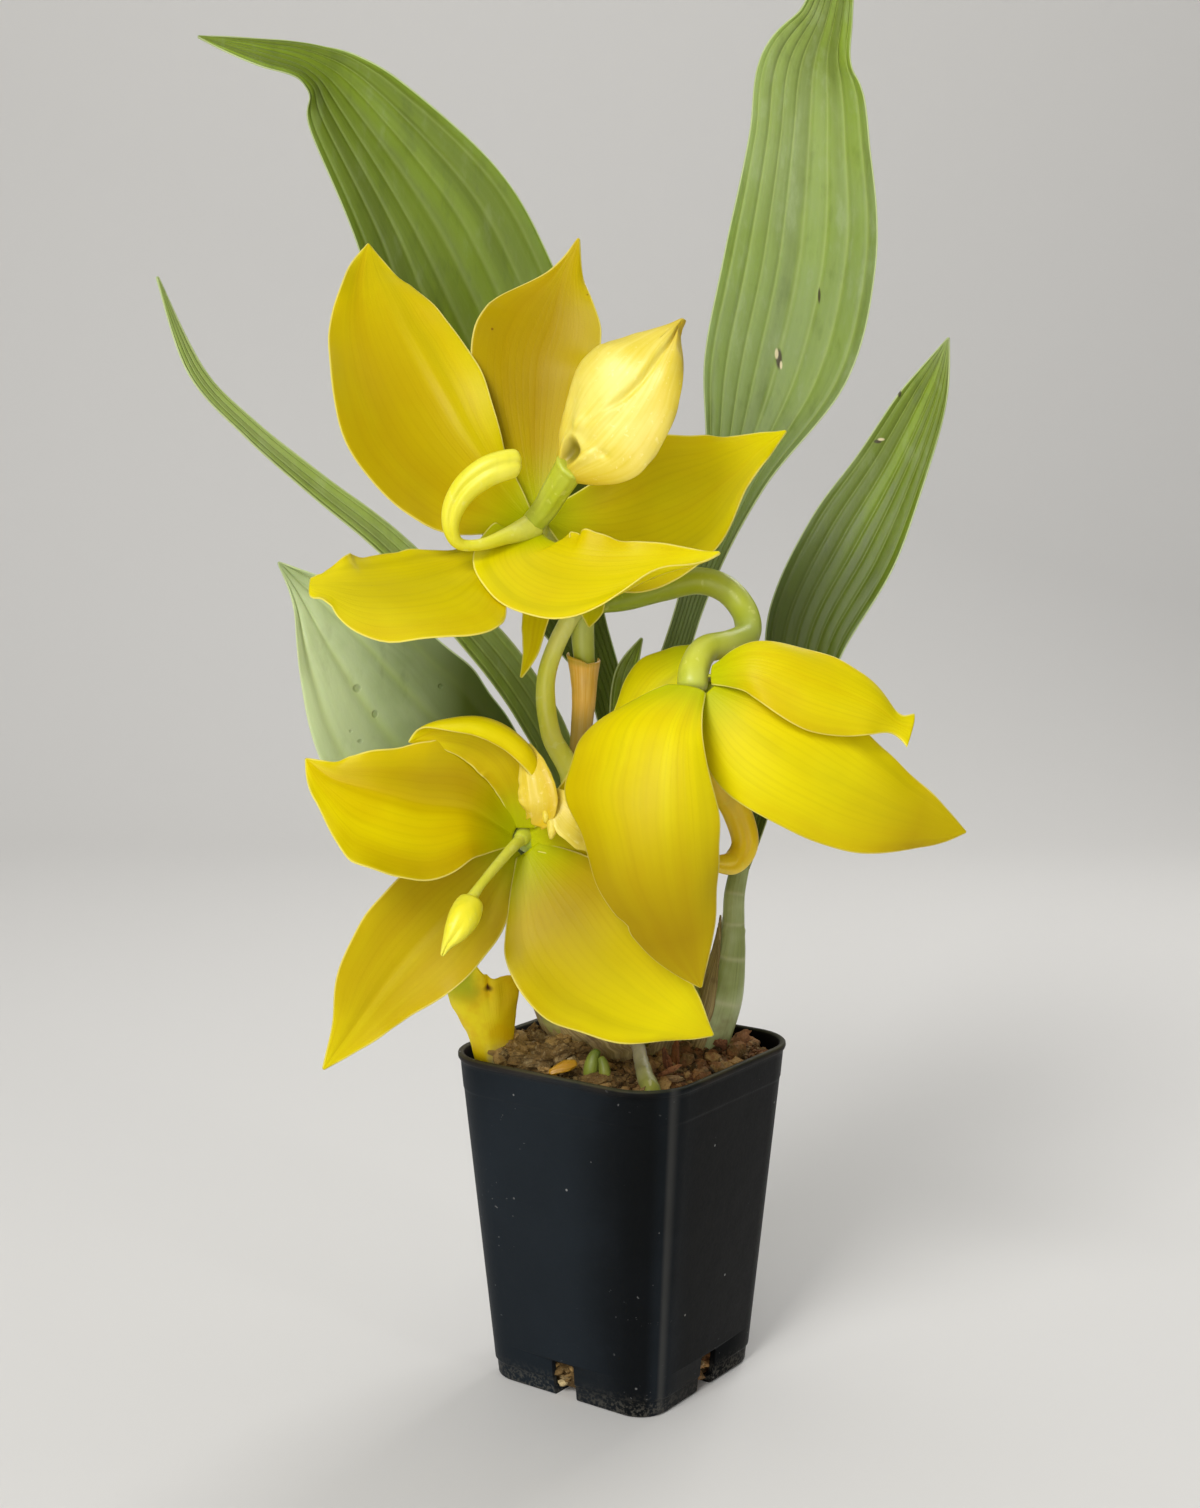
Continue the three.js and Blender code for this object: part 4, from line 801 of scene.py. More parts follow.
papers = {
    "leafStub": {
        "slot": "stub_yellow", "finish": stubYellow, "seed": 54, "along": 90, "across": 48,
        "rows": [
            [-38, -13, 92, 5.5, -60], [-39, -14, 106, 8, -60], [-40.5, -16, 118, 12, 11, -50, -50],
            [-41.5, -18, 130, 11.5, 11, -35, -45],
        ],
        "face": [0, -0.97, 0.2], "swell": 0.6, "flutter": 0.6,
        "end": lambda v: lineAt([0.76, 0.82, 0.92, 1.0, 0.88, 0.84, 0.84, 0.83, 0.78], (v + 1) / 2),
        "dents": [(0.86, 0.1, 0.16, 0.05, -1.8), (0.78, 0.3, 0.2, 0.14, 0.8), (0.3, -0.1, 0.2, 0.2, 0.5)],
    },
    "bractDry": {
        "slot": "orange_sheath", "finish": orange, "seed": 55, "flutter": 0.6,
        "rows": [
            [-13.4, -23.8, 189, 5.6, -130], [-12.4, -24.8, 198, 6.2, -130], [-11.6, -25.6, 207, 6.9, -130],
            [-11.5, -26.2, 214, 8, -125], [-11.5, -27.4, 219.6, 9.4, -112],
        ],
        "face": [0, -1, 0],
        "end": lambda v: 0.95 - 0.05 * np.sin(np.clip(3 * v, -1.5, 1.5)) - 0.03 * hill(v, 0.1, 0.12),
    },
    "bractSmall": {
        "slot": "petal", "finish": petal, "seed": 56, "across": 12,
        "rows": [
            [-11, -25, 238, 3, 30], [-9.5, -28, 234, 4, 30], [-10, -30, 229, 0.4, 0],
        ],
        "face": [0, -0.9, 0.4],
    },
    "bractYellow": {
        "slot": "petal", "finish": petal, "seed": 57, "across": 12,
        "rows": [
            [-17, -24, 243, 4, 20], [-23, -26.6, 239, 5.2, 4.6, 20, 20], [-25, -29, 230, 3.6, 3.8, 15, 15],
            [-26.2, -31, 222, 2.3, 2.4, 15, 15], [-28.9, -33, 215.2, 0.4, 0],
        ],
        "face": [-0.2, -0.9, 0.4],
    },
}
for name, spec in papers.items():
    piece = blade(name, {"thickness": 0.7, **spec}, spec["finish"], 40, spec.get("across", 24))
    settle(piece, spec["slot"], nodeOf(name))
print("sheaths and bracts made")


stalkLook = {"green": "c8ca34", "light": "eaea8c", "lemon": "f0e41c", "dark": "a2ac20", "deep": "88a010"}


def freshFinish(name, look):
    bench, place = newFinish(name, look)
    along, warm = bench.mark("along"), bench.mark("warm")
    soft = bench.grain(place, 60, 3)
    fine = bench.grain(place, 380, 2)
    stretch = bench.grain(bench.stretched(place, (260.0, 260.0, 34.0)), 1.0, 2)
    bench.start(bench.between(soft, 0.3, 0.7) * 0.6, "green", "light")
    bench.lay(warm, "lemon")
    bench.lay(bench.between(stretch, 0.5, 0.75) * 0.25, "dark")
    bench.lay(bench.mark("deep"), "deep")
    bench.lay(bench.between(fine, 0.62, 0.72) * 0.3, "light")
    normal = bench.bump(stretch + fine * 0.4, 0.4, 0.00015)
    return bench.surface(0.34 + fine * 0.15, normal, (0.25, (1.0, 0.9, 0.2), 0.002))


fresh = freshFinish("fresh", stalkLook)


def newTree(name, sizes):
    tree = bpy.data.node_groups.new(name, "GeometryNodeTree")
    kinds = {int: "NodeSocketInt", float: "NodeSocketFloat", bpy.types.Material: "NodeSocketMaterial"}
    tree.interface.new_socket("Geometry", in_out="INPUT", socket_type="NodeSocketGeometry")
    for label, value in sizes.items():
        tree.interface.new_socket(label, in_out="INPUT", socket_type=kinds[type(value)])
    tree.interface.new_socket("Geometry", in_out="OUTPUT", socket_type="NodeSocketGeometry")
    bench = Bench(tree)
    return tree, bench, bench.node("NodeGroupInput")


def closeTree(bench, geometry, finish):
    geometry = bench.shape("RealizeInstances", {"Geometry": geometry})
    geometry = bench.shape("SetMaterial", {"Geometry": geometry, "Material": finish})
    bench.node("NodeGroupOutput", None, {"Geometry": geometry})


def applied(piece):  # keeps what the piece's modifiers make of it as a plain mesh
    evaluated = piece.evaluated_get(bpy.context.evaluated_depsgraph_get())
    piece.data = bpy.data.meshes.new_from_object(evaluated)
    piece.data.name = piece.name
    piece.modifiers.clear()
    return piece


def bake(piece, tree, sizes):  # runs the tree on the piece
    modifier = piece.modifiers.new(tree.name, "NODES")
    modifier.node_group = tree
    for item in tree.interface.items_tree:
        if item.in_out == "INPUT" and item.name in sizes:
            modifier[item.identifier] = sizes[item.name]
    return applied(piece)


def stalkTree(sizes):
    tree, bench, group = newTree("stalk", sizes)
    path = bench.shape("MeshToCurve", {"Mesh": group})
    girth = bench.stored("girth")
    ring = bench.shape("CurvePrimitiveCircle", {"Resolution": group.also("Sides"), "Radius": 1.0})
    tube = bench.shape("CurveToMesh", {
        "Curve": path, "Profile Curve": ring, "Scale": girth, "Fill Caps": True,
    })
    spot = bench.shape("InputPosition")
    lump = bench.grain(spot, group.also("Lump Size"), 2) - 0.5
    push = bench.vector("SCALE", bench.shape("InputNormal"), lump * group.also("Lump Height"))
    tube = bench.shape("SetPosition", {"Geometry": tube, "Offset": push})
    tube = bench.shape("SetShadeSmooth", {"Geometry": tube})
    closeTree(bench, tube, group.also("Finish"))
    return tree


stalkSizes = {"Sides": 28, "Lump Size": 90.0, "Lump Height": 0.0005, "Finish": fresh}
stalkNodes = stalkTree(stalkSizes)


def stalk(name, spec, finish, steps=70):
    t = np.linspace(0, 1, steps + 1)
    row = rowAt(evened(spec["rows"], 5), t)
    length = np.linalg.norm(np.diff(row[:, :3], axis=0), axis=1).sum()
    girth = (row[:, 3] + row[:, 4]) / 2
    for end in (t * length, (1 - t) * length):  # both ends close like domes
        near = np.clip(end / np.maximum(girth, 0.1), 0, 1)
        girth = girth * np.sqrt(np.maximum(1 - (1 - near) ** 2, 0.004))
    mesh = bpy.data.meshes.new(name)
    mesh.from_pydata((row[:, :3] * mm).tolist(), [(i, i + 1) for i in range(steps)], [])
    tints = {tint: lineAt(spec.get(tint, [0, 0]), t) for tint in ("warm", "deep")}
    for mark, values in {"girth": girth * mm, "along": t, **tints}.items():
        mesh.attributes.new(mark, "FLOAT", "POINT").data.foreach_set("value", np.asarray(values, np.float32))
    lumps = {"Lump Size": spec.get("lumpSize", 90.0), "Lump Height": spec.get("lump", 0.0005)}
    return bake(linked(name, mesh), stalkNodes, {**stalkSizes, **lumps, "Finish": finish})


flowerStalks = {
    "peduncle": {
        "rows": [
            [-4.5, -4, 150, 3.6], [-9, -13, 160, 3.4], [-13.6, -20, 177, 2.8], [-12.4, -21.2, 197, 2.3],
            [-11.4, -22, 216, 2.9], [-11.9, -22, 228, 3.2], [-11, -22, 237, 2.8],
        ],
        "deep": [0.6, 0.8, 0.8, 0.7, 0.5, 0.3, 0.6],
    },
    "stalkTop": {
        "rows": [
            [-10, -22, 233, 2.6], [-8, -17, 242, 2.8], [-14, -18, 251, 3], [-22, -28, 255, 3.3],
            [-25, -40, 257, 4.2],
        ],
    },
    "stalkLow": {
        "rows": [
            [-10, -22, 235, 2.4], [-16, -25, 230, 2.5], [-22, -26, 215, 2.6], [-21, -28, 199, 2.9],
            [-15, -28, 186, 3.3], [-18, -30, 174, 3.6], [-28.8, -44.5, 170.5, 4.2],
        ],
        "warm": [0.0, 0.3, 0.45, 0.35, 0.2], "deep": [0.3, 0, 0, 0, 0.1, 0.4, 0.8],
    },
    "stalkRight": {
        "rows": [
            [-10, -23, 234.5, 2.6], [0, -21.5, 236, 3.2], [11, -20, 239.2, 3.7], [20.4, -19.4, 241.2, 3.9],
            [28.4, -20.5, 239, 3.9], [33.6, -24, 233, 3.8], [34, -30, 227, 3.8], [28.6, -37.5, 224.8, 3.8],
            [21.6, -43.6, 223.6, 3.9], [18.4, -49, 218.6, 4.1], [18, -52.6, 212.8, 4.3],
        ],
        "warm": [0.5, 0.4, 0.1, 0.0, 0.2], "deep": [0.8, 0.8, 0.6, 0.5, 0.5, 0.6, 0.3, 0.2, 0.5],
    },
}
# a lighter copy of the stalk finish for the low stalk: painted light, since that stalk lies in the shadow of the
# blooms above
stalkLit = freshFinish("stalkLit", {
    **stalkLook, "green": "d4da4a", "light": "f4f6a8", "dark": "b4c234", "deep": "a4bc2c",
})
for name, spec in flowerStalks.items():
    piece = stalk(name, spec, stalkLit if name == "stalkLow" else fresh)
    settle(piece, "fresh_green", *(["spike"] if name == "peduncle" else []))

rootLook = {"green": "ada384", "light": "dcd5bc", "lemon": "a8a838", "dark": "5a4e38", "deep": "46521e"}
rootFinish = freshFinish("root", rootLook)
root = {
    "rows": [
        [3.4, -18, 106.6, 1.8], [4.2, -24, 106.4, 2], [4.8, -31, 104.6, 2.1], [6, -38, 101.5, 2.5],
        [7.4, -42, 98.5, 2.9], [8.5, -44, 93, 2.6],
    ],
    "warm": [0, 0, 0.1, 0.6, 1, 1], "deep": [0, 0, 0.1, 0.3, 0.5, 0.6], "lumpSize": 420.0, "lump": 0.0009,
}
settle(stalk("root", root, rootFinish), "root_white", "root")
shoots = {
    "shootTall": {
        "rows": [
            [-9.8, -27, 96, 2], [-9.6, -27.4, 101, 2.2], [-8.8, -27, 104.6, 1.9], [-7.4, -26.8, 106.9, 1],
        ],
        "warm": [0.1, 0.1], "deep": [0.6, 0.4, 0.9],
    },
    "shootShort": {
        "rows": [
            [-5.4, -30.2, 95, 1.6], [-5.6, -30.4, 100.5, 1.8], [-6, -30, 103.4, 1.5], [-6.9, -29.6, 105.6, 0.8],
        ],
        "warm": [0.5, 0.1], "deep": [0.2, 0.5, 0.6],
    },
}
shootLook = {"green": "93a422", "light": "bcc862", "lemon": "c2b03a", "dark": "566a1a", "deep": "4a5e10"}
shootGreen = freshFinish("shootGreen", shootLook)
for name, spec in shoots.items():
    piece = stalk(name, spec, shootGreen, 30)
    settle(piece, "fresh_green", *(["new_shoots"] if name == "shootTall" else []))
print("stalks, root and shoots made")


bulbLook = {"base": "8a8c34", "light": "b8ba68", "dark": "4a3f1e", "brown": "7d6142", "scar": "cdbf8c"}


def bulbFinish(name, look):
    bench, place = newFinish(name, look)
    across, along = bench.sheet()
    wobble = bench.grain(place, 60, 3)
    streak = bench.grain(bench.at(across * 70 + wobble * 2, along * 3), 1.0, 3, 0.6)
    patch = bench.grain(place, 95, 3, 0.6)
    ring = (bench.math("SINE", along * 37.7 + 1.57 + wobble * 0.5) * 0.5 + 0.5) ** 30
    bench.start(bench.between(wobble, 0.35, 0.7), "base", "light")
    bench.lay(bench.between(patch, 0.5, 0.7) * 0.7, "brown")
    bench.lay(bench.between(streak, 0.5, 0.8) * 0.55, "dark")
    bench.lay(ring * 0.35, "scar")
    normal = bench.bump(streak + ring, 0.6, 0.0003)
    return bench.surface(0.45 + wobble * 0.1, normal, (0.08, (0.8, 1.0, 0.3), 0.002))


bulbGreen = bulbFinish("bulb", bulbLook)
mainBulb = {
    "rows": [
        [0, 0, 84, 11, 10], [0, 0, 96, 15.5, 14.5], [-1, 0, 106, 21, 18.5], [-2, 0, 116, 24.5, 20],
        [-2, 1, 128, 22.5, 18.5], [-2, 2, 141, 16, 15], [-2, 2, 152, 11.5, 11], [-1, 3, 162, 8.5],
        [1, 4, 172, 6],
    ],
    "shape": lambda angle, t: 1 + 0.03 * np.cos(12 * math.pi * t) + 0.02 * np.cos(5 * angle),
    "relief": lambda angle, t: (
        0.2 * np.cos(31 * angle + 3 * np.sin(9 * t)) - 0.5 * np.maximum(0, np.cos(12 * math.pi * t + math.pi)) ** 12
    ),
}
settle(limb("bulb", mainBulb, bulbGreen, 130, 96), "bulb_green", "stem_main")
sideLook = {"base": "8f9a4e", "light": "bcc68c", "dark": "66702e", "brown": "8a8450", "scar": "d6d2a4"}
sideGrowth = {
    "rows": [
        [23, 2, 86, 5], [24.5, 2, 100, 7], [29, 3, 115, 7, 6.5], [32, 3, 128, 4.7, 4.5], [33, 3, 138, 3.3],
        [33.5, 4, 147, 3], [36, 6, 158, 2.6],
    ],
    "relief": lambda angle, t: 0.12 * np.cos(14 * angle) + 0.3 * hill(t, 0.62, 0.01),
}
settle(limb("sideGrowth", sideGrowth, bulbFinish("sideGrowth", sideLook), 80, 40), "bulb_green", "stem_side")
print("stems made")

# dry sheaths cling to the stems they grew on: patches of the stem's own surface, a little proud of it
wraps = {
    "sheathLeft": {
        "on": mainBulb, "middle": 2.25, "half": 1.15, "from": 0.14, "to": 0.47,
        "lift": 0.5, "seed": 51, "lean": 0.5,
    },
    "sheathFront": {
        "on": mainBulb, "middle": 0.85, "half": 0.4, "from": 0.14, "to": 0.42,
        "lift": 0.5, "seed": 52, "lean": -0.3,
    },
    "sheathSide": {
        "on": sideGrowth, "middle": 2.65, "half": 1.0, "from": 0.1, "to": 0.7,
        "lift": 0.4, "seed": 53, "lean": 0.2,
    },
}


def wrap(name, spec, finish, along=70, across=48):
    rows = evened(spec["on"]["rows"], 5)
    v = np.broadcast_to(np.linspace(-1, 1, across + 1), (along + 1, across + 1))
    g = np.broadcast_to(np.linspace(0, 1, along + 1)[:, None], v.shape)
    torn = 1 + 0.05 * wander(g, spec["seed"], 16)
    ragged = 1 - 0.12 * v**2 + 0.04 * wander((v + 1) / 2, spec["seed"] + 3, 12) * g
    t = spec["from"] + (spec["to"] - spec["from"]) * g * ragged
    angle = spec["middle"] + spec["half"] * v * (1 - 0.93 * g**2.4) * torn + spec["lean"] * g**2
    row = rowAt(rows, t)
    heading = headingAt(rows, t)
    beside = unit(np.cross(heading, np.array([0.0, -1.0, 0.0])))
    normal = np.cross(beside, heading)
    crumple = 0.35 * wander(g, spec["seed"] + 4, 12) * np.cos(5 * v) + 0.25 * np.cos(40 * v + 4 * g) * 0.4
    loose = np.abs(v) ** 5 * (0.6 + 0.6 * wander(g, spec["seed"] + 5, 8)) + 1.4 * g**6
    proud = 0.45 + spec["lift"] * loose + crumple * 0.4
    faces, uvs, shells = [], [], []
    for extra in (0.28, -0.28):
        wide, deep = row[..., 3] + proud + extra, row[..., 4] + proud + extra
        shells.append(
            row[..., :3] + beside * (wide * np.cos(angle))[..., None] + normal * (deep * np.sin(angle))[..., None]
        )
    points = np.concatenate([shell.reshape(-1, 3) for shell in shells])
    uv = np.stack([(v + 1) / 2, g], -1).reshape(-1, 2)
    uv = np.concatenate([uv, uv]).tolist()
    span, count = across + 1, (along + 1) * (across + 1)
    for i in range(along):
        for j in range(across):
            a = i * span + j
            faces.append((a, a + span, a + span + 1, a + 1))
            faces.append((a + count, a + count + 1, a + count + span + 1, a + count + span))
    loop = edgeLoop(along, across)
    for k, a in enumerate(loop):
        b = loop[(k + 1) % len(loop)]
        faces.append((a, b, b + count, a + count))
    marks = {"tone": np.full(len(points), 0.5)}
    return newPiece(name, points, faces, [[uv[n] for n in face] for face in faces], marks, finish)


for name, spec in wraps.items():
    settle(wrap(name, spec, dry), "dry_sheath", nodeOf(name))
print("dry sheaths made")


columns = {
    "topColumn": {
        "domes": (2, 2), "sharp": 0.22, "grooved": 0.7,
        "rows": [
            [-24, -44, 257.5, 4, 3.8], [-31, -51, 255, 2.4, 2.2], [-38, -57, 252.7, 1.6, 1.5],
            [-43.8, -60, 252.8, 1.6, 1.4], [-46, -62, 256.5, 2.1, 1.7], [-45.4, -63, 262, 2.9, 2.1],
            [-42, -63.5, 267.5, 3.6, 2.5], [-36.6, -63.5, 271.6, 4, 2.7], [-31, -62.5, 273.6, 3.9, 2.7],
            [-27.8, -61, 273.8, 3.6, 2.4],
        ],
        "warms": [0.1, 0.3, 0.5, 0.6, 0.65, 0.6, 0.6, 0.6],
    },
    "lowColumn": {
        "domes": (1.5, 1), "grooved": 0,
        "rows": [
            [-27.6, -43, 172.4, 1.8], [-31.5, -52, 169.6, 1.5], [-35.5, -60, 166, 1.35],
            [-38.7, -66, 162.8, 1.25], [-41.3, -70.6, 159.6, 1.6],
        ],
        "warms": [0.2, 0.1, 0.2, 0.3],
    },
    "lowHeart": {
        "domes": (1, 2), "grooved": 0,
        "rows": [[-26.6, -41, 173, 2.4], [-28, -44, 172.2, 2.6, 2.5], [-29.6, -47.4, 171, 1.9, 1.8]],
        "warms": [0.5, 0.3], "deeps": 0.4,
    },
    "lowAnther": {
        "domes": (1.6, 0.6), "grooved": 0.7, "sharp": 0.3,
        "rows": [
            [-40.6, -69.6, 160.2, 2.8, 2.4], [-41.6, -71.6, 158, 3.9, 3.3], [-43, -74.4, 155.2, 4.1, 3.6],
            [-45, -76.6, 152, 3.1, 3], [-47, -77.4, 149, 1.5, 1.7], [-48.4, -77.4, 146, 0.5],
        ],
        "warms": [0.6, 0.9, 0.8, 0.6],
    },
    "rightColumn": {
        "domes": (2, 2), "grooved": 0.7, "sharp": 0.25,
        "rows": [
            [20, -50, 212, 3.2], [22, -46, 200, 2.6], [25, -42, 188, 3.4, 2.6], [31, -37, 178, 4, 2.8],
            [33.5, -37, 169, 3.8, 2.8], [30, -40, 164, 3.4, 2.6], [24, -46, 165, 2],
        ],
        "warms": [0.4, 0.8, 1, 1, 0.9],
    },
}


def columnSpec(spec):  # a groove runs along the face of the swollen part
    deep, sharp = spec["grooved"], spec.get("sharp", 0.2)
    return {
        **spec,
        "relief": lambda angle, t: -deep * hill(angle, 1.65, sharp) * np.clip(3 * t - 1, 0, 1),
        "marks": {
            "warm": lambda angle, t: lineAt(spec["warms"], t),
            "deep": spec.get("deeps", 0),
        },
    }


columnLook = {"green": "d8c820", "light": "f0e048", "lemon": "f0cc00", "dark": "b89c08", "deep": "a8a810"}
golden = freshFinish("columnGold", columnLook)
for name, spec in columns.items():
    column = limb(name, columnSpec(spec), golden if name == "rightColumn" else fresh, 110, 56)
    settle(column, "fresh_green", *([nodeOf(name)] if name.endswith("Column") else []))

lipLook = {"cream": "ecde6e", "lemon": "e0cb34", "gold": "cfae14", "hollowShade": "8a7c18", "rim": "fbf3b4"}


def lipFinish(name, look):
    bench, place = newFinish(name, look)
    across, along = bench.sheet()
    soft = bench.grain(place, 70, 3)
    fine = bench.grain(place, 700, 3, 0.6)
    streak = bench.grain(bench.at(across * 30, along * 2, 0.0), 1.0, 3)
    stain = bench.mark("stain")
    warm = bench.mark("warm")
    bench.start(bench.between(soft * 0.6 + streak * 0.4, 0.35, 0.65), "cream", "lemon")
    bench.lay(warm, "gold")
    bench.lay(bench.between(fine, 0.6, 0.75) * 0.3, "rim")
    # painted shade in the lip's hollow
    bench.lay(stain, "hollowShade")
    normal = bench.bump(fine * 0.5 + streak * 0.6, 0.4, 0.0002)
    return bench.surface(0.42, normal, (0.2, (1.0, 0.85, 0.35), 0.003))


cream = lipFinish("cream", lipLook)


def spots(v, t, *bumps):  # rounded bumps or hollows: place across, place along, their widths and height
    return sum(high * hill(v, across, wide) * hill(t, along, long) for across, along, wide, long, high in bumps)


def topLipRelief(v, t):
    crease = -0.05 + 0.5 * np.clip((t - 0.3) / 0.6, 0, 1)
    line = np.clip((t - 0.3) / 0.15, 0, 1) * np.clip((0.97 - t) / 0.1, 0, 1)
    groove = -1.1 * hill(v, crease, 0.06) * line - 0.7 * hill(v, crease + 0.12, 0.16) * line
    rim = 0.9 * np.exp(-(((np.hypot((v + 0.08) / 0.36, (t - 0.12) / 0.085) - 1) / 0.3) ** 2))
    return groove + rim + spots(
        v, t, (-0.06, 0.12, 0.27, 0.065, -2.7), (-0.25, 0.27, 0.16, 0.05, 1.7), (-0.7, 0.3, 0.2, 0.1, -0.9),
        (0.46, 0.25, 0.1, 0.02, -0.8),
        (0.34, 0.16, 0.12, 0.07, 1.3), (0.05, 0.36, 0.1, 0.09, 0.8), (0.3, 0.21, 0.1, 0.03, 0.7),
        (-0.55, 0.55, 0.3, 0.16, 0.5),
        (0.6, 0.5, 0.25, 0.16, -0.5), (0.55, 0.12, 0.3, 0.08, 0.8), (0.3, 0.38, 0.12, 0.05, -0.3),
    )


# painted shade: the deep hollow above the claw is painted darker
def paintedHollowShade(v, t):
    return np.clip(1.1 * np.exp(-((v + 0.06) / 0.24) ** 4 - ((t - 0.118) / 0.058) ** 4), 0, 1)


lips = {
    "topLip": {
        "belly": (4.6, 3.2), "relief": topLipRelief, "edge": 0.012, "swell": 0.5, "flutter": 0.5,
        "rows": [
            [-16.2, -57.5, 272.3, 3.5, 4.5, 0, 0], [-12.5, -61, 276.8, 8.6, 11.6, 0, 0],
            [-8.7, -63.5, 281.3, 11.6, 16.6, 0, 0], [-4.5, -65.5, 286.5, 14.4, 17.2, 0, 0],
            [-0.2, -66.5, 291.8, 15.3, 15.4, 0, 0], [4.2, -66, 297.2, 13.9, 12.2, 0, 0],
            [8.4, -64, 302.5, 9, 7.4, 0, 0], [12.2, -61.5, 307.2, 3.2, 2, 0, 0], [14.8, -60, 310.6, 0.5, 0],
        ],
        "face": [-0.2, -0.9, 0.35],
        "marks": {
            "stain": paintedHollowShade,
            "warm": lambda v, t: (
                0.75 * hill(t, 1, 0.22) + 0.4 * hill(v, 1, 0.45) + 0.55 * hill(t, 0, 0.14) + 0.3 * hill(v, -1, 0.3)
            ),
        },
        "claw": [
            [-25.5, -43.5, 257.5, 3.4, 3.2], [-21.7, -50, 262.1, 3.5, 3.3], [-18.6, -55, 267, 3.7, 3.5],
            [-15.6, -58.6, 271.6, 4.1, 3.8], [-14.2, -60, 273.6, 4.2, 3.6],
        ],
    },
    "lowLip": {
        "belly": (0.9, 0.6), "edge": 0.02, "flutter": 0.5, "along": 60, "across": 32,
        "relief": lambda v, t: spots(v, t, (0.45, 0.45, 0.3, 0.3, 0.7), (-0.45, 0.8, 0.3, 0.15, -0.5)),
        "rows": [
            [-27, -52, 198, 1.5, 1.5, 20, 30], [-25.4, -56, 194, 3.6, 3.4, 25, 30],
            [-23.8, -59, 189.5, 4.8, 5.2, 25, 25], [-23, -60.4, 185, 5.4, 5.8, 30, 20],
            [-23.6, -60, 181, 4.8, 4, 40, 20], [-25.4, -58.6, 178.4, 2.6, 1.6, 40, 20],
        ],
        "end": lambda v: 0.95 + 0.05 * np.cos(5 * v + 1),
        "face": [[-0.3, -0.9, 0.2], [-0.2, -0.95, -0.2]],
        "marks": {
            "stain": 0,
            "warm": lambda v, t: 0.35 + 0.3 * t + 0.35 * hill(v, -0.8, 0.4) + 0.2 * hill(t, 0.9, 0.2),
        },
        "claw": [[-26, -44, 175, 1.2], [-24.5, -47, 178, 1.2], [-23.5, -51, 181.5, 1.3], [-23.2, -56, 185, 1.3]],
    },
    "rightLip": {
        "belly": (4, 3), "edge": 0.012, "swell": 0.5,
        "relief": lambda v, t: spots(v, t, (-0.2, 0.13, 0.26, 0.06, -2.6), (0, 0.6, 0.06, 0.2, -0.9)),
        "rows": [
            [28, -35, 206, 3, 0], [31, -30, 203, 10, 0], [36, -22, 197, 13, 0], [41, -14, 190, 12, 0],
            [45, -9, 183, 7, 0], [48, -6, 178, 0.5, 0],
        ],
        "face": [0.2, -0.3, -0.9],
        "marks": {"stain": paintedHollowShade, "warm": lambda v, t: 0.5 * hill(t, 1, 0.25)},
        "claw": [[21, -49, 213, 3.2, 3], [25, -41, 209, 3, 2.9], [29, -33, 205, 3.2, 3], [31, -30, 203, 3.4, 3]],
    },
}
for name, spec in lips.items():
    spec = {"thickness": 1, **spec}
    settle(blade(name, spec, cream, spec.get("along", 120), spec.get("across", 72)), "cream", nodeOf(name))
    claw = {
        "rows": spec["claw"], "face": spec["face"] if np.ndim(spec["face"]) == 1 else spec["face"][0],
        "domes": (1.5, 0.6),
        "relief": lambda angle, t: 0.16 * np.cos(9 * angle) * np.sin(math.pi * t) + 0.35 * hill(t, 0.86, 0.05),
        "marks": {"warm": 0.12, "deep": lambda angle, t: 0.6 - 0.2 * t},
    }
    settle(limb(name + "Claw", claw, fresh, 50, 48), "fresh_green")

lowLipRight = {
    "belly": (0.8, 0.5), "seed": 62, "thickness": 0.9, "edge": 0.05,
    "rows": [
        [-20.6, -57.5, 186.5, 1.5, 20], [-17.4, -60, 183, 4.8, 4.6, 45, 30],
        [-13.6, -61, 179.4, 6.2, 6.4, 45, 35], [-10, -59.5, 176, 6, 30], [-7, -57, 173.4, 3, 20],
    ],
    "face": [[-0.1, -0.95, 0.3], [0.2, -0.9, 0.3]],
    "marks": {"stain": 0, "warm": 0.35},
}
settle(blade("lowLipRight", lowLipRight, cream, 36, 24), "cream")
lowLipTeeth = {
    "toothUpper": [
        [-21.6, -60.5, 182, 1, 0.9], [-21.5, -61.6, 180.6, 1, 0.9], [-21.5, -61.8, 179.4, 0.7],
        [-21.5, -61.4, 178.6, 0.3],
    ],
    "toothLower": [
        [-20, -60.2, 180.6, 1.1, 1], [-19.8, -61.8, 178.6, 1.4, 1.2], [-19.8, -62.2, 176.4, 1.2, 1.1],
        [-20.2, -61.8, 174.2, 0.4],
    ],
}
for name, rows in lowLipTeeth.items():
    tooth = {"rows": rows, "domes": (0.6, 0.8), "marks": {"stain": 0, "warm": 0.3}}
    settle(limb(name, tooth, cream, 16, 20), "cream")
chip = {
    "rows": [
        [-21.6, -31, 100.9, 0.8, 0.5], [-19, -30.6, 102.1, 1.4, 0.6], [-16.4, -30, 103, 1.7, 0.6],
        [-13.6, -29.2, 103.6, 0.9, 0.5],
    ],
    "face": (0, -0.8, 0.6), "domes": (0.8, 0.8), "relief": lambda angle, t: 0.2 * np.cos(7 * angle + 9 * t),
    "marks": {"warm": 0.9},
}
chipYellow = freshFinish("chipYellow", {
    **columnLook, "green": "a07c18", "light": "cca444", "lemon": "b4820e", "dark": "66490f", "deep": "583e10",
})
settle(limb("chip", chip, chipYellow, 24, 20), "bark")
print("columns and lips made")

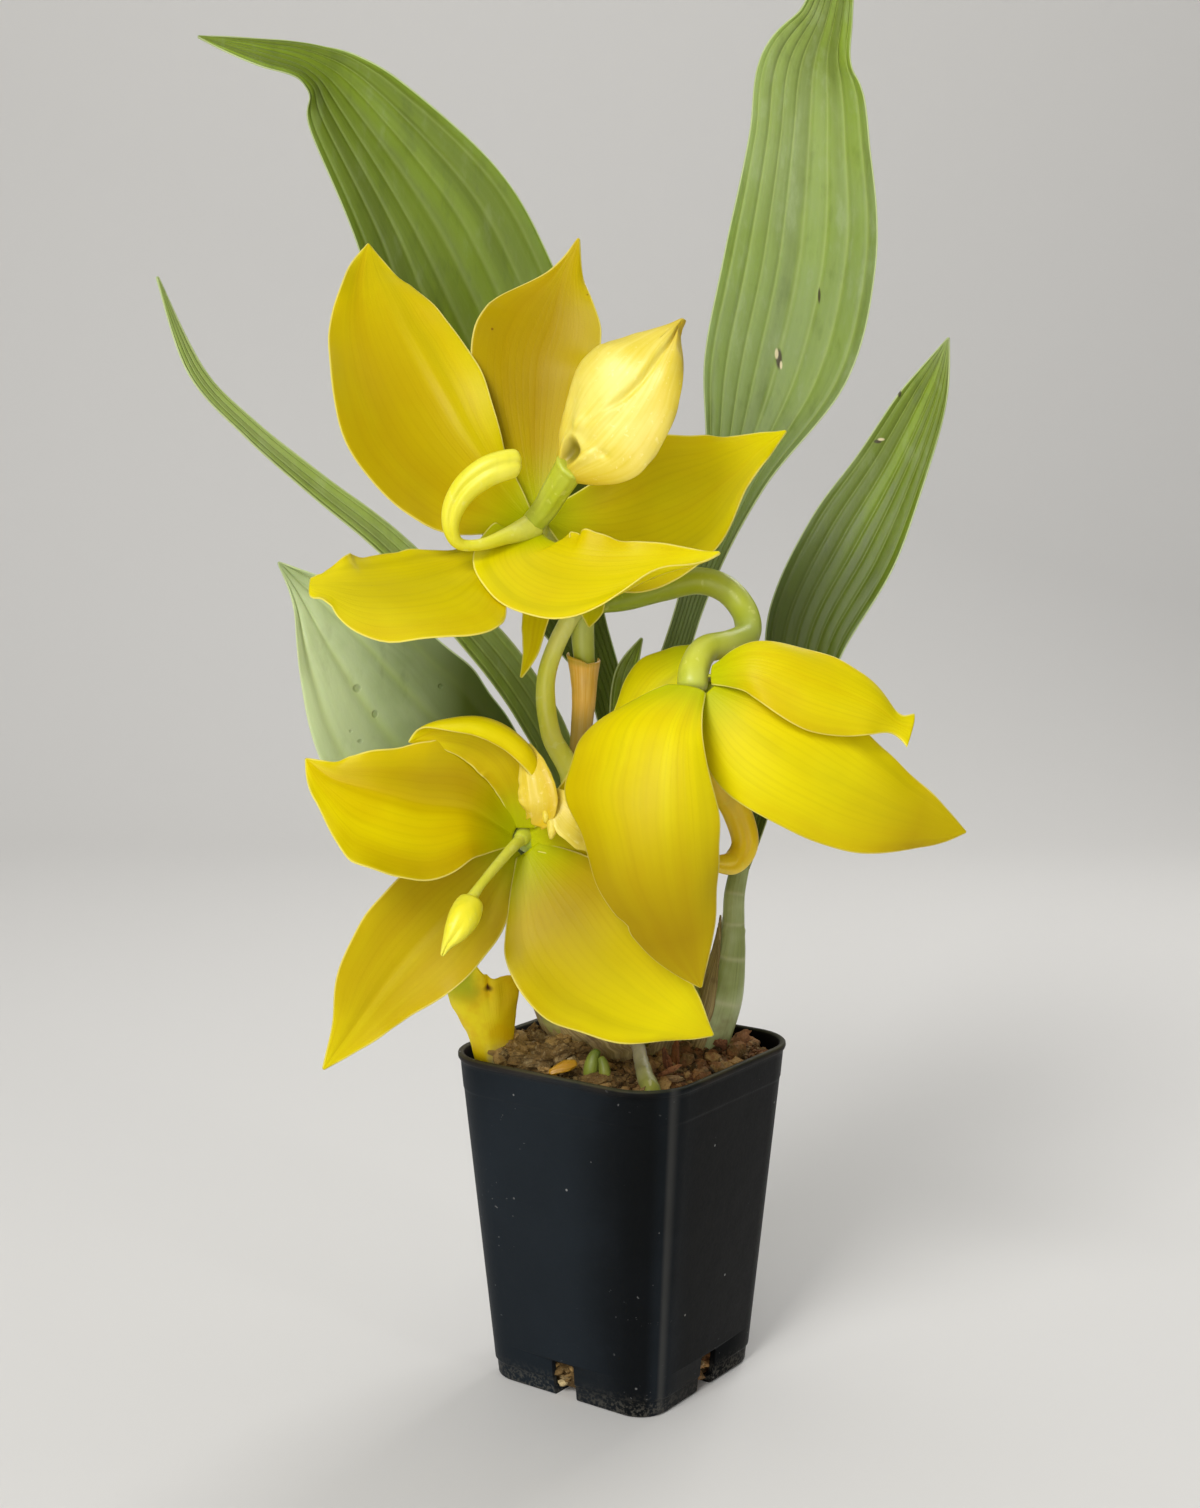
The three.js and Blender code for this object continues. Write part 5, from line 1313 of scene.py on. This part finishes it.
# the pot: a mesh of rings whose points are sent to the wall by a tree with the pot's sizes
potWall = {"tall": 101, "half": 29.6, "flare": 10, "corner": 9, "cornerFlare": 7}
potSize = {
    "Height": potWall["tall"] * mm, "Bottom Half": potWall["half"] * mm,
    "Top Half": (potWall["half"] + potWall["flare"]) * mm,
    "Bottom Corner": potWall["corner"] * mm, "Top Corner": (potWall["corner"] + potWall["cornerFlare"]) * mm,
    "Turn": math.radians(54.6),
}
potProfile = [  # height and how far the skin stands out from the tapering wall
    (0, -12), (0, -4), (0, -1.2), (0.1, -0.6), (0.35, -0.22), (0.8, 0), (2.5, 0), (4.7, 0), (5.0, 0.06),
    (5.25, 0.3),
    (5.5, 0.5), (6.0, 0.52), (12, 0.47), (26, 0.39), (42, 0.3), (58, 0.2), (74, 0.1), (84, 0.04), (89.4, 0),
    (89.9, 0.01), (90.15, 0.1), (90.4, 0.17), (90.8, 0.18), (94, 0.12), (97.6, 0.05), (98.7, 0.02), (98.95, 0.3),
    (99.3, 0.55), (99.8, 0.62), (100.3, 0.6), (100.7, 0.42), (100.95, 0.1), (101, -0.3), (100.95, -0.8),
    (100.75, -1.12),
    (100.4, -1.3), (99, -1.3), (94, -1.3), (80, -1.3), (60, -1.3), (30, -1.3), (6, -1.3), (3, -1.5), (2.1, -2.4),
    (2, -4), (2, -12),
]


def potTree(sizes):
    tree, bench, group = newTree("pot", sizes)
    height, proud = (bench.stored(n) for n in ("height", "proud"))
    corner = bench.stored("corner", "FLOAT_VECTOR")
    arc = bench.stored("arc", "FLOAT_VECTOR")
    share = height / group.also("Height")
    half = group.also("Bottom Half") + (group.also("Top Half") - group.also("Bottom Half")) * share + proud
    bend = group.also("Bottom Corner") + (group.also("Top Corner") - group.also("Bottom Corner")) * share + proud
    bend = bench.math("MAXIMUM", bend, 0.0005)
    out = bench.vector("SCALE", corner, half - bend)
    turn = bench.vector("SCALE", arc, bend)
    flat = bench.vector("ADD", out, turn)
    upright = bench.vector("ADD", flat, bench.at(0.0, 0.0, height))
    turned = bench.node(
        "ShaderNodeVectorRotate", {"rotation_type": "Z_AXIS"}, {"Vector": upright, "Angle": group.also("Turn")},
    )
    skin = bench.shape("SetPosition", {"Geometry": group, "Position": turned})
    skin = bench.shape("SetShadeSmooth", {"Geometry": skin})
    closeTree(bench, skin, group.also("Finish"))
    return tree


potLook = {
    "dark": "0e1215", "light": "181d22", "dust": "6a665c", "scuff": "8a8a88", "soil": "43341f",
    "sheen": "5c5a55", "shadeBlack": "040505", "rim": "55553c", "left": "22292f",
}


def potFinish(name, look):
    bench, place = newFinish(name, look)
    height = bench.part(place, "Z")
    cloud = bench.grain(place, 18, 4, 0.6)
    fine = bench.grain(place, 900, 3, 0.6)
    drag = bench.grain(bench.stretched(place, (700.0, 60.0, 700.0), (0.3, 0.5, 0.2)), 1.0, 2)
    scratch = bench.between(drag, 0.7, 0.76) * bench.between(bench.grain(place, 45, 2), 0.52, 0.62)
    speck = 1 - bench.between(bench.cells(place, 130), 0.035, 0.06)
    speck = speck * bench.between(bench.grain(place, 30, 2), 0.5, 0.58)
    nearRim = bench.between(height, 0.0975, 0.1012)
    nearFoot = 1 - bench.between(height, 0.001, 0.009)
    bench.start(bench.between(cloud, 0.35, 0.7), "dark", "light")
    aside = bench.part(place, "X") / (0.0296 + 0.099 * height)  # -1 to 1 across the front
    shaded = bench.between(aside, -0.25, 0.1) * (1 - bench.between(aside, 0.18, 0.3))
    # painted light and shade across the front: the left face painted lighter, the right face and a band across the
    # front corner up to the highlight painted darker
    bench.lay((1 - bench.between(aside, -0.5, -0.1)) * 0.5, "left")
    bench.lay(bench.between(aside, 0.35, 0.6) * 0.85, "shadeBlack")
    bench.lay(shaded * 0.75, "shadeBlack")
    # a painted highlight: a thin sheen strip down the front corner
    strip = bench.between(aside, 0.3, 0.34) * (1 - bench.between(aside, 0.345, 0.41)) * (0.4 + cloud * 0.6)
    bench.lay(strip * 0.4, "sheen")
    # a painted highlight: a thin line along the top edge of the rim
    bench.lay(bench.between(height, 0.1002, 0.1008) * bench.between(cloud, 0.3, 0.6) * 0.7, "rim")
    bench.lay(nearFoot * bench.between(fine, 0.45, 0.6) * 0.35, "dust")
    # lighter brown band near the rim: partly soil on the rim, partly a painted highlight on its edge
    bench.lay(nearRim * bench.between(cloud, 0.4, 0.6) * 0.4, "soil")
    bench.lay(scratch * 0.35, "scuff")
    bench.lay(speck * 0.8, "scuff")
    normal = bench.bump(fine, 0.35, 0.00012)
    normal = bench.bump(cloud, 0.5, 0.0012, normal)
    return bench.surface(0.36 + fine * 0.14 + cloud * 0.1, normal, shine=0.07)


def tubeEnds(rings, sides):  # faces that close the first and the last ring
    return [tuple(range(sides))[::-1], tuple((rings - 1) * sides + k for k in range(sides))]


def makePot(name, profile, finish, steps=10):
    around = [(q, math.pi / 2 * (q + s / steps)) for q in range(4) for s in range(steps + 1)]
    sides = len(around)
    marks = {"height": [], "proud": []}
    corners, arcs, points, faces = [], [], [], []
    for height, proud in profile:
        for q, a in around:
            points.append((math.cos(a) * 0.03, math.sin(a) * 0.03, height * mm))
            corners.append(((1 if q in (0, 3) else -1), (1 if q < 2 else -1), 0))
            arcs.append((math.cos(a), math.sin(a), 0))
            marks["height"].append(height * mm)
            marks["proud"].append(proud * mm)
    for i in range(len(profile) - 1):
        for k in range(sides):
            n = (k + 1) % sides
            faces.append((i * sides + k, (i + 1) * sides + k, (i + 1) * sides + n, i * sides + n)[::-1])
    faces += tubeEnds(len(profile), sides)
    mesh = bpy.data.meshes.new(name)
    mesh.from_pydata(points, [], faces)
    for mark, values in marks.items():
        mesh.attributes.new(mark, "FLOAT", "POINT").data.foreach_set("value", np.array(values, np.float32))
    for mark, values in (("corner", corners), ("arc", arcs)):
        vectors = mesh.attributes.new(mark, "FLOAT_VECTOR", "POINT")
        vectors.data.foreach_set("vector", np.array(values, np.float32).ravel())
    sizes = {**potSize, "Finish": finish}
    return bake(linked(name, mesh), potTree(sizes), sizes)


def notched(piece, width=8, height=11.4, depth=9):  # an arched drainage notch at the foot of each side
    bend = 0.7  # of the arch's corners
    arch = [(-width / 2, -4), (width / 2, -4), (width / 2, height - bend)]
    for a in np.linspace(0.3, 1.5, 4):
        arch.append((width / 2 - bend + bend * math.cos(a), height - bend + bend * math.sin(a)))
    arch += [(-x, z) for x, z in arch[::-1] if z > 0]
    points, faces = [], []
    for q in range(4):
        base, turn = len(points), potSize["Turn"] + q * math.pi / 2
        c, s = math.cos(turn), math.sin(turn)
        for away in (potWall["half"] - depth, potWall["half"] + depth):
            points += [((away * c - x * s) * mm, (away * s + x * c) * mm, z * mm) for x, z in arch]
        n = len(arch)
        faces.append(tuple(base + i for i in range(n))[::-1])
        faces.append(tuple(base + n + i for i in range(n)))
        for i in range(n):
            j = (i + 1) % n
            faces.append((base + i, base + j, base + n + j, base + n + i))
    mesh = bpy.data.meshes.new("notches")
    mesh.from_pydata(points, [], faces)
    cutter = linked("notches", mesh)
    cut = piece.modifiers.new("cut", "BOOLEAN")
    cut.object = cutter
    cut.solver = "EXACT"
    cut.operation = "DIFFERENCE"
    applied(piece)
    bpy.data.objects.remove(cutter)
    return piece


potPlastic = potFinish("potPlastic", potLook)
settle(notched(makePot("pot", potProfile, potPlastic)), "pot_plastic", "pot")
print("pot made")

# the bark mix: a lumpy bed with loose grains, chunks and strips strewn over it by a tree
mixLook = {"dark": "140e06", "brown": "5e4826", "tan": "ae8c56", "pale": "d8c08c", "red": "8e5a36"}
bed = {
    "level": 95.5, "crown": 6.5, "lumps": 2.0, "rings": 44, "inset": 1.65, "lowInset": 3,
    "mounds": [(-24, -18, 12, 4), (-8, -35, 6, 5), (26, -8, 9, 2.5)],
}


def mixFinish(name, look, darkening):
    bench, place = newFinish(name, look)
    tone = bench.mark("tone")
    fine = bench.grain(place, 1400, 3, 0.65)
    soft = bench.grain(place, 260, 3, 0.6)
    grainLine = bench.grain(bench.stretched(place, (1500.0, 1500.0, 160.0), (0.4, 0.7, 0.3)), 1.0, 3)
    side = bench.between(bench.part(place, "X"), -0.02, 0.03)
    stops = [(0.0, "dark"), (0.3, "brown"), (0.55, "tan"), (0.8, "brown"), (1.0, "pale")]
    stops = [(at, paint(look[tint])) for at, tint in stops]
    # darkening makes the whole finish darker; on the bed it is painted shade for the gaps between the bits
    bench.color = bench.node("ShaderNodeValToRGB", {"stops": stops}, {"Fac": tone * 0.8 + soft * 0.3 - darkening})
    bench.lay(side * bench.between(soft, 0.4, 0.6) * 0.6, "red")
    bench.lay(bench.between(grainLine, 0.5, 0.75) * 0.5, "dark")
    bench.lay(bench.between(fine, 0.55, 0.75) * 0.35, "pale")
    normal = bench.bump(fine * 0.5 + grainLine * 0.7, 0.9, 0.0004)
    return bench.surface(0.85, normal, shine=0.25)


def potHalf(z):
    return potWall["half"] + potWall["flare"] * z / potWall["tall"]


def potCorner(z):
    return potWall["corner"] + potWall["cornerFlare"] * z / potWall["tall"]


def lumpy(x, y, size, seed):
    return noise.noise(Vector((x / size, y / size, seed * 7.3)))


def makeBed(name, finish):
    levels = [(2.5, 1, 0), (8, 1, 0), (14, 1, 0), (30, 1, 0), (60, 1, 0), (84, 1, 0), (bed["level"] - 1.5, 1, 0)]
    levels += [(bed["level"], r, 1) for r in np.linspace(0.995, 0.02, bed["rings"])]
    points, faces = [], []
    for z, r, loose in levels:
        inset = bed["inset"] if z > 20 else bed["lowInset"]
        half, corner = potHalf(z) - inset, potCorner(z) - inset
        for x, y in squareRing(half * r, max(corner * r, 0.2), 16, potSize["Turn"]):
            rise = bed["crown"] * (1 - r * r) * loose
            rise += loose * (bed["lumps"] * lumpy(x, y, 7, 1) + 0.9 * lumpy(x, y, 3, 2) + 0.4 * lumpy(x, y, 1.3, 3))
            for atX, atY, wide, high in bed["mounds"]:
                rise += loose * high * hill(math.hypot(x - atX, y - atY), 0, wide) * (1 - r**8)
            points.append((x, y, z + rise))
    sides = len(points) // len(levels)
    for i in range(len(levels) - 1):
        for k in range(sides):
            n = (k + 1) % sides
            faces.append((i * sides + k, i * sides + n, (i + 1) * sides + n, (i + 1) * sides + k))
    faces += tubeEnds(len(levels), sides)
    uvs = [[(0.0, 0.0)] * len(face) for face in faces]
    tones = [0.5 + 0.5 * lumpy(p[0], p[1], 4, 9) for p in points]
    room = [(1 - r) * (potHalf(z) - bed["inset"]) * loose for z, r, loose in levels for k in range(sides)]
    return newPiece(name, points, faces, uvs, {"tone": tones, "room": np.array(room) * mm}, finish)


def scatterTree(sizes):
    tree, bench, group = newTree("strewn", sizes)
    give = group.also
    where = bench.shape("InputPosition")
    x = bench.part(where, "X")
    z = bench.part(where, "Z")
    up = bench.part(bench.shape("InputNormal"), "Z")
    room = bench.stored("room")
    chosen = (up > give("Least Up")) * (z > give("From Z")) * (z < give("To Z")) * (room > give("Clear"))
    chosen = chosen * (x > give("From X")) * (x < give("To X"))
    spots = bench.shape("DistributePointsOnFaces", {
        "Mesh": group, "Selection": chosen, "Density": give("Density"), "Seed": give("Seed"),
    })
    ball = bench.shape("MeshIcoSphere", {"Radius": 1.0, "Subdivisions": give("Detail")})
    shift = (bench.grain(where, 0.9, 2) - 0.5) + (bench.grain(where, 2.8, 2) - 0.5) * 0.6
    push = bench.vector("SCALE", where, shift * give("Rough"))
    ball = bench.shape("SetPosition", {"Geometry": ball, "Offset": push})
    spin = bench.node("FunctionNodeRandomValue", {"data_type": "FLOAT_VECTOR"}, {
        "Min": bench.at(give("Tilt") * -1.0, give("Tilt") * -1.0, -3.1),
        "Max": bench.at(give("Tilt"), give("Tilt"), 3.1), "Seed": give("Seed"),
    })
    size = bench.drawn(give("Smallest"), give("Largest"), give("Seed") + 5)
    slim = bench.drawn(0.6, 1.3, give("Seed") + 9)
    shape = bench.at(size * give("Long"), size * slim, size * give("Flat") * slim)
    made = bench.shape("InstanceOnPoints", {
        "Points": spots, "Instance": ball, "Rotation": spin, "Scale": shape,
    })
    made = bench.shape("TranslateInstances", {
        "Instances": made, "Translation": bench.at(0.0, 0.0, give("Lift")), "Local Space": False,
    })
    hue = bench.drawn(0.0, 1.0, give("Seed") + 3)
    made = bench.node(
        "GeometryNodeStoreNamedAttribute", {"data_type": "FLOAT", "domain": "INSTANCE"},
        {"Geometry": made, "Name": "tone", "Value": hue},
    )
    made = bench.shape("RealizeInstances", {"Geometry": made})
    made = bench.shape("SetShadeSmooth", {"Geometry": made, "Shade Smooth": False})
    closeTree(bench, made, give("Finish"))
    return tree


# the bed is made darker than the bits: painted shade in the gaps between them
bark = mixFinish("bark", mixLook, 0.3)
barkBits = mixFinish("barkBits", mixLook, 0.0)
grainBits = mixFinish("grainBits", {**mixLook, "tan": "8a744a", "pale": "b8a070"}, 0.12)
tanBits = mixFinish(
    "tanBits",
    {**mixLook, "dark": "2a1f0e", "brown": "6e5630", "tan": "b49358", "pale": "e2cd98", "red": "946c3c"}, 0.0,
)
huskBits = mixFinish(
    "huskBits", {**mixLook, "dark": "2a160c", "brown": "7c4e30", "tan": "a8754c", "pale": "cc9e74"}, 0.0,
)
mixBed = makeBed("barkMix", bark)
onTop = {"Tilt": 0.5, "From X": -1.0, "To X": 1.0, "From Z": 0.09, "To Z": 0.2, "Least Up": 0.2}
atFoot = {
    "Tilt": 0.5, "From X": -1.0, "To X": 1.0, "From Z": 0.0, "To Z": 0.014, "Least Up": -0.5, "Clear": -1.0,
    "Lift": 0.0,
}
strewn = {
    "grains": {
        **onTop, "Density": 340000.0, "Seed": 3, "Smallest": 0.0004, "Largest": 0.0012, "Long": 1.3, "Flat": 0.7,
        "Rough": 1.2, "Detail": 1, "Clear": 0.001, "Lift": 0.0002, "Finish": grainBits,
    },
    "pebbles": {
        **onTop, "Density": 40000.0, "Seed": 7, "Smallest": 0.0010, "Largest": 0.0026, "Long": 1.2, "Flat": 0.85,
        "Rough": 1.4, "Detail": 2, "Clear": 0.003, "Lift": 0.0006,
    },
    "lumps": {
        **onTop, "Density": 14000.0, "Seed": 29, "Smallest": 0.0026, "Largest": 0.0068, "Long": 1.35, "Flat": 0.8,
        "Rough": 2.6, "Detail": 4, "Clear": 0.0078, "To X": -0.005, "Lift": 0.0022, "Finish": tanBits,
    },
    "chunks": {
        **onTop, "Density": 8000.0, "Seed": 11, "Smallest": 0.0018, "Largest": 0.0036, "Long": 1.7, "Flat": 0.6,
        "Rough": 1.5, "Detail": 3, "Clear": 0.0068, "Lift": 0.0008,
    },
    "husks": {
        **onTop, "Density": 22000.0, "Seed": 19, "Smallest": 0.0012, "Largest": 0.0026, "Long": 3.4, "Flat": 0.5,
        "Rough": 1.5, "Detail": 3, "Clear": 0.0088, "From X": 0.01, "Lift": 0.003, "Tilt": 1.5, "Finish": huskBits,
    },
    "footBits": {
        **atFoot, "Density": 240000.0, "Seed": 23, "Smallest": 0.0008, "Largest": 0.0021, "Long": 1.4, "Flat": 0.6,
        "Rough": 1.2, "Detail": 2,
    },
}
scatter = scatterTree(strewn["grains"])
for name, sizes in strewn.items():
    bits = mixBed.copy()
    bits.data = mixBed.data.copy()
    bits.name = name
    bpy.context.collection.objects.link(bits)
    settle(bake(bits, scatter, {"Finish": barkBits, **sizes}), "bark")
settle(mixBed, "bark", "bark_mix")
print("bark mix made")

# stage: a pale floor that sweeps up behind the plant
floorLook = {"wide": 5000, "front": -2600, "bend": 900, "round": 700, "top": 1900, "colour": "dddbd7"}
lights = {
    "key": {"place": (-950, -1850, 1750), "aim": (0, -40, 220), "size": 900, "power": 41},
    "fill": {"place": (-350, -1250, 420), "aim": (0, 0, 200), "size": 800, "power": 6.5},
    "edge": {"place": (520, -560, 330), "aim": (10, 0, 60), "size": 60, "tall": 420, "power": 0.5},
    "back": {"place": (450, 700, 900), "aim": (0, 0, 250), "size": 420, "power": 4},
    "wash": {"place": (0, 300, 1700), "aim": (0, 1500, 500), "size": 1500, "power": 8},
}
profile = [(floorLook["front"], 0.0)]
for a in np.linspace(0, math.pi / 2, 24):
    profile.append((floorLook["bend"] + floorLook["round"] * math.sin(a), floorLook["round"] * (1 - math.cos(a))))
profile.append((floorLook["bend"] + floorLook["round"], floorLook["top"]))
floorMesh = bpy.data.meshes.new("floor")
half = floorLook["wide"] / 2
points = [(side * half * mm, y * mm, z * mm) for y, z in profile for side in (-1, 1)]
floorMesh.from_pydata(points, [], [(2 * i, 2 * i + 1, 2 * i + 3, 2 * i + 2) for i in range(len(profile) - 1)])
floorMesh.polygons.foreach_set("use_smooth", [True] * len(floorMesh.polygons))
floor = linked("floor", floorMesh)
bench, place = newFinish("floor", floorLook)
bench.color = paint(floorLook["colour"])
floor.data.materials.append(bench.surface(0.9))
floor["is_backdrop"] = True
for name, light in lights.items():
    lamp = linked(name, bpy.data.lights.new(name, "AREA"))
    lamp.data.shape = "RECTANGLE"
    lamp.data.size, lamp.data.size_y = light["size"] * mm, light.get("tall", light["size"]) * mm
    lamp.data.energy = light["power"]
    lamp.location = Vector(light["place"]) * mm
    aim = Vector(light["aim"]) * mm - lamp.location
    lamp.rotation_euler = aim.to_track_quat("-Z", "Y").to_euler()
world = bpy.data.worlds.new("studio")
world.use_nodes = True
world.node_tree.nodes["Background"].inputs["Color"].default_value = (0.93, 0.94, 0.96, 1)
world.node_tree.nodes["Background"].inputs["Strength"].default_value = 0.12
bpy.context.scene.world = world
bpy.context.scene.view_settings.view_transform = "Standard"  # colours come out as they are mixed

sizes = {"cad": [list(p) for p in cadBox], "visual": [list(p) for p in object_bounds()]}
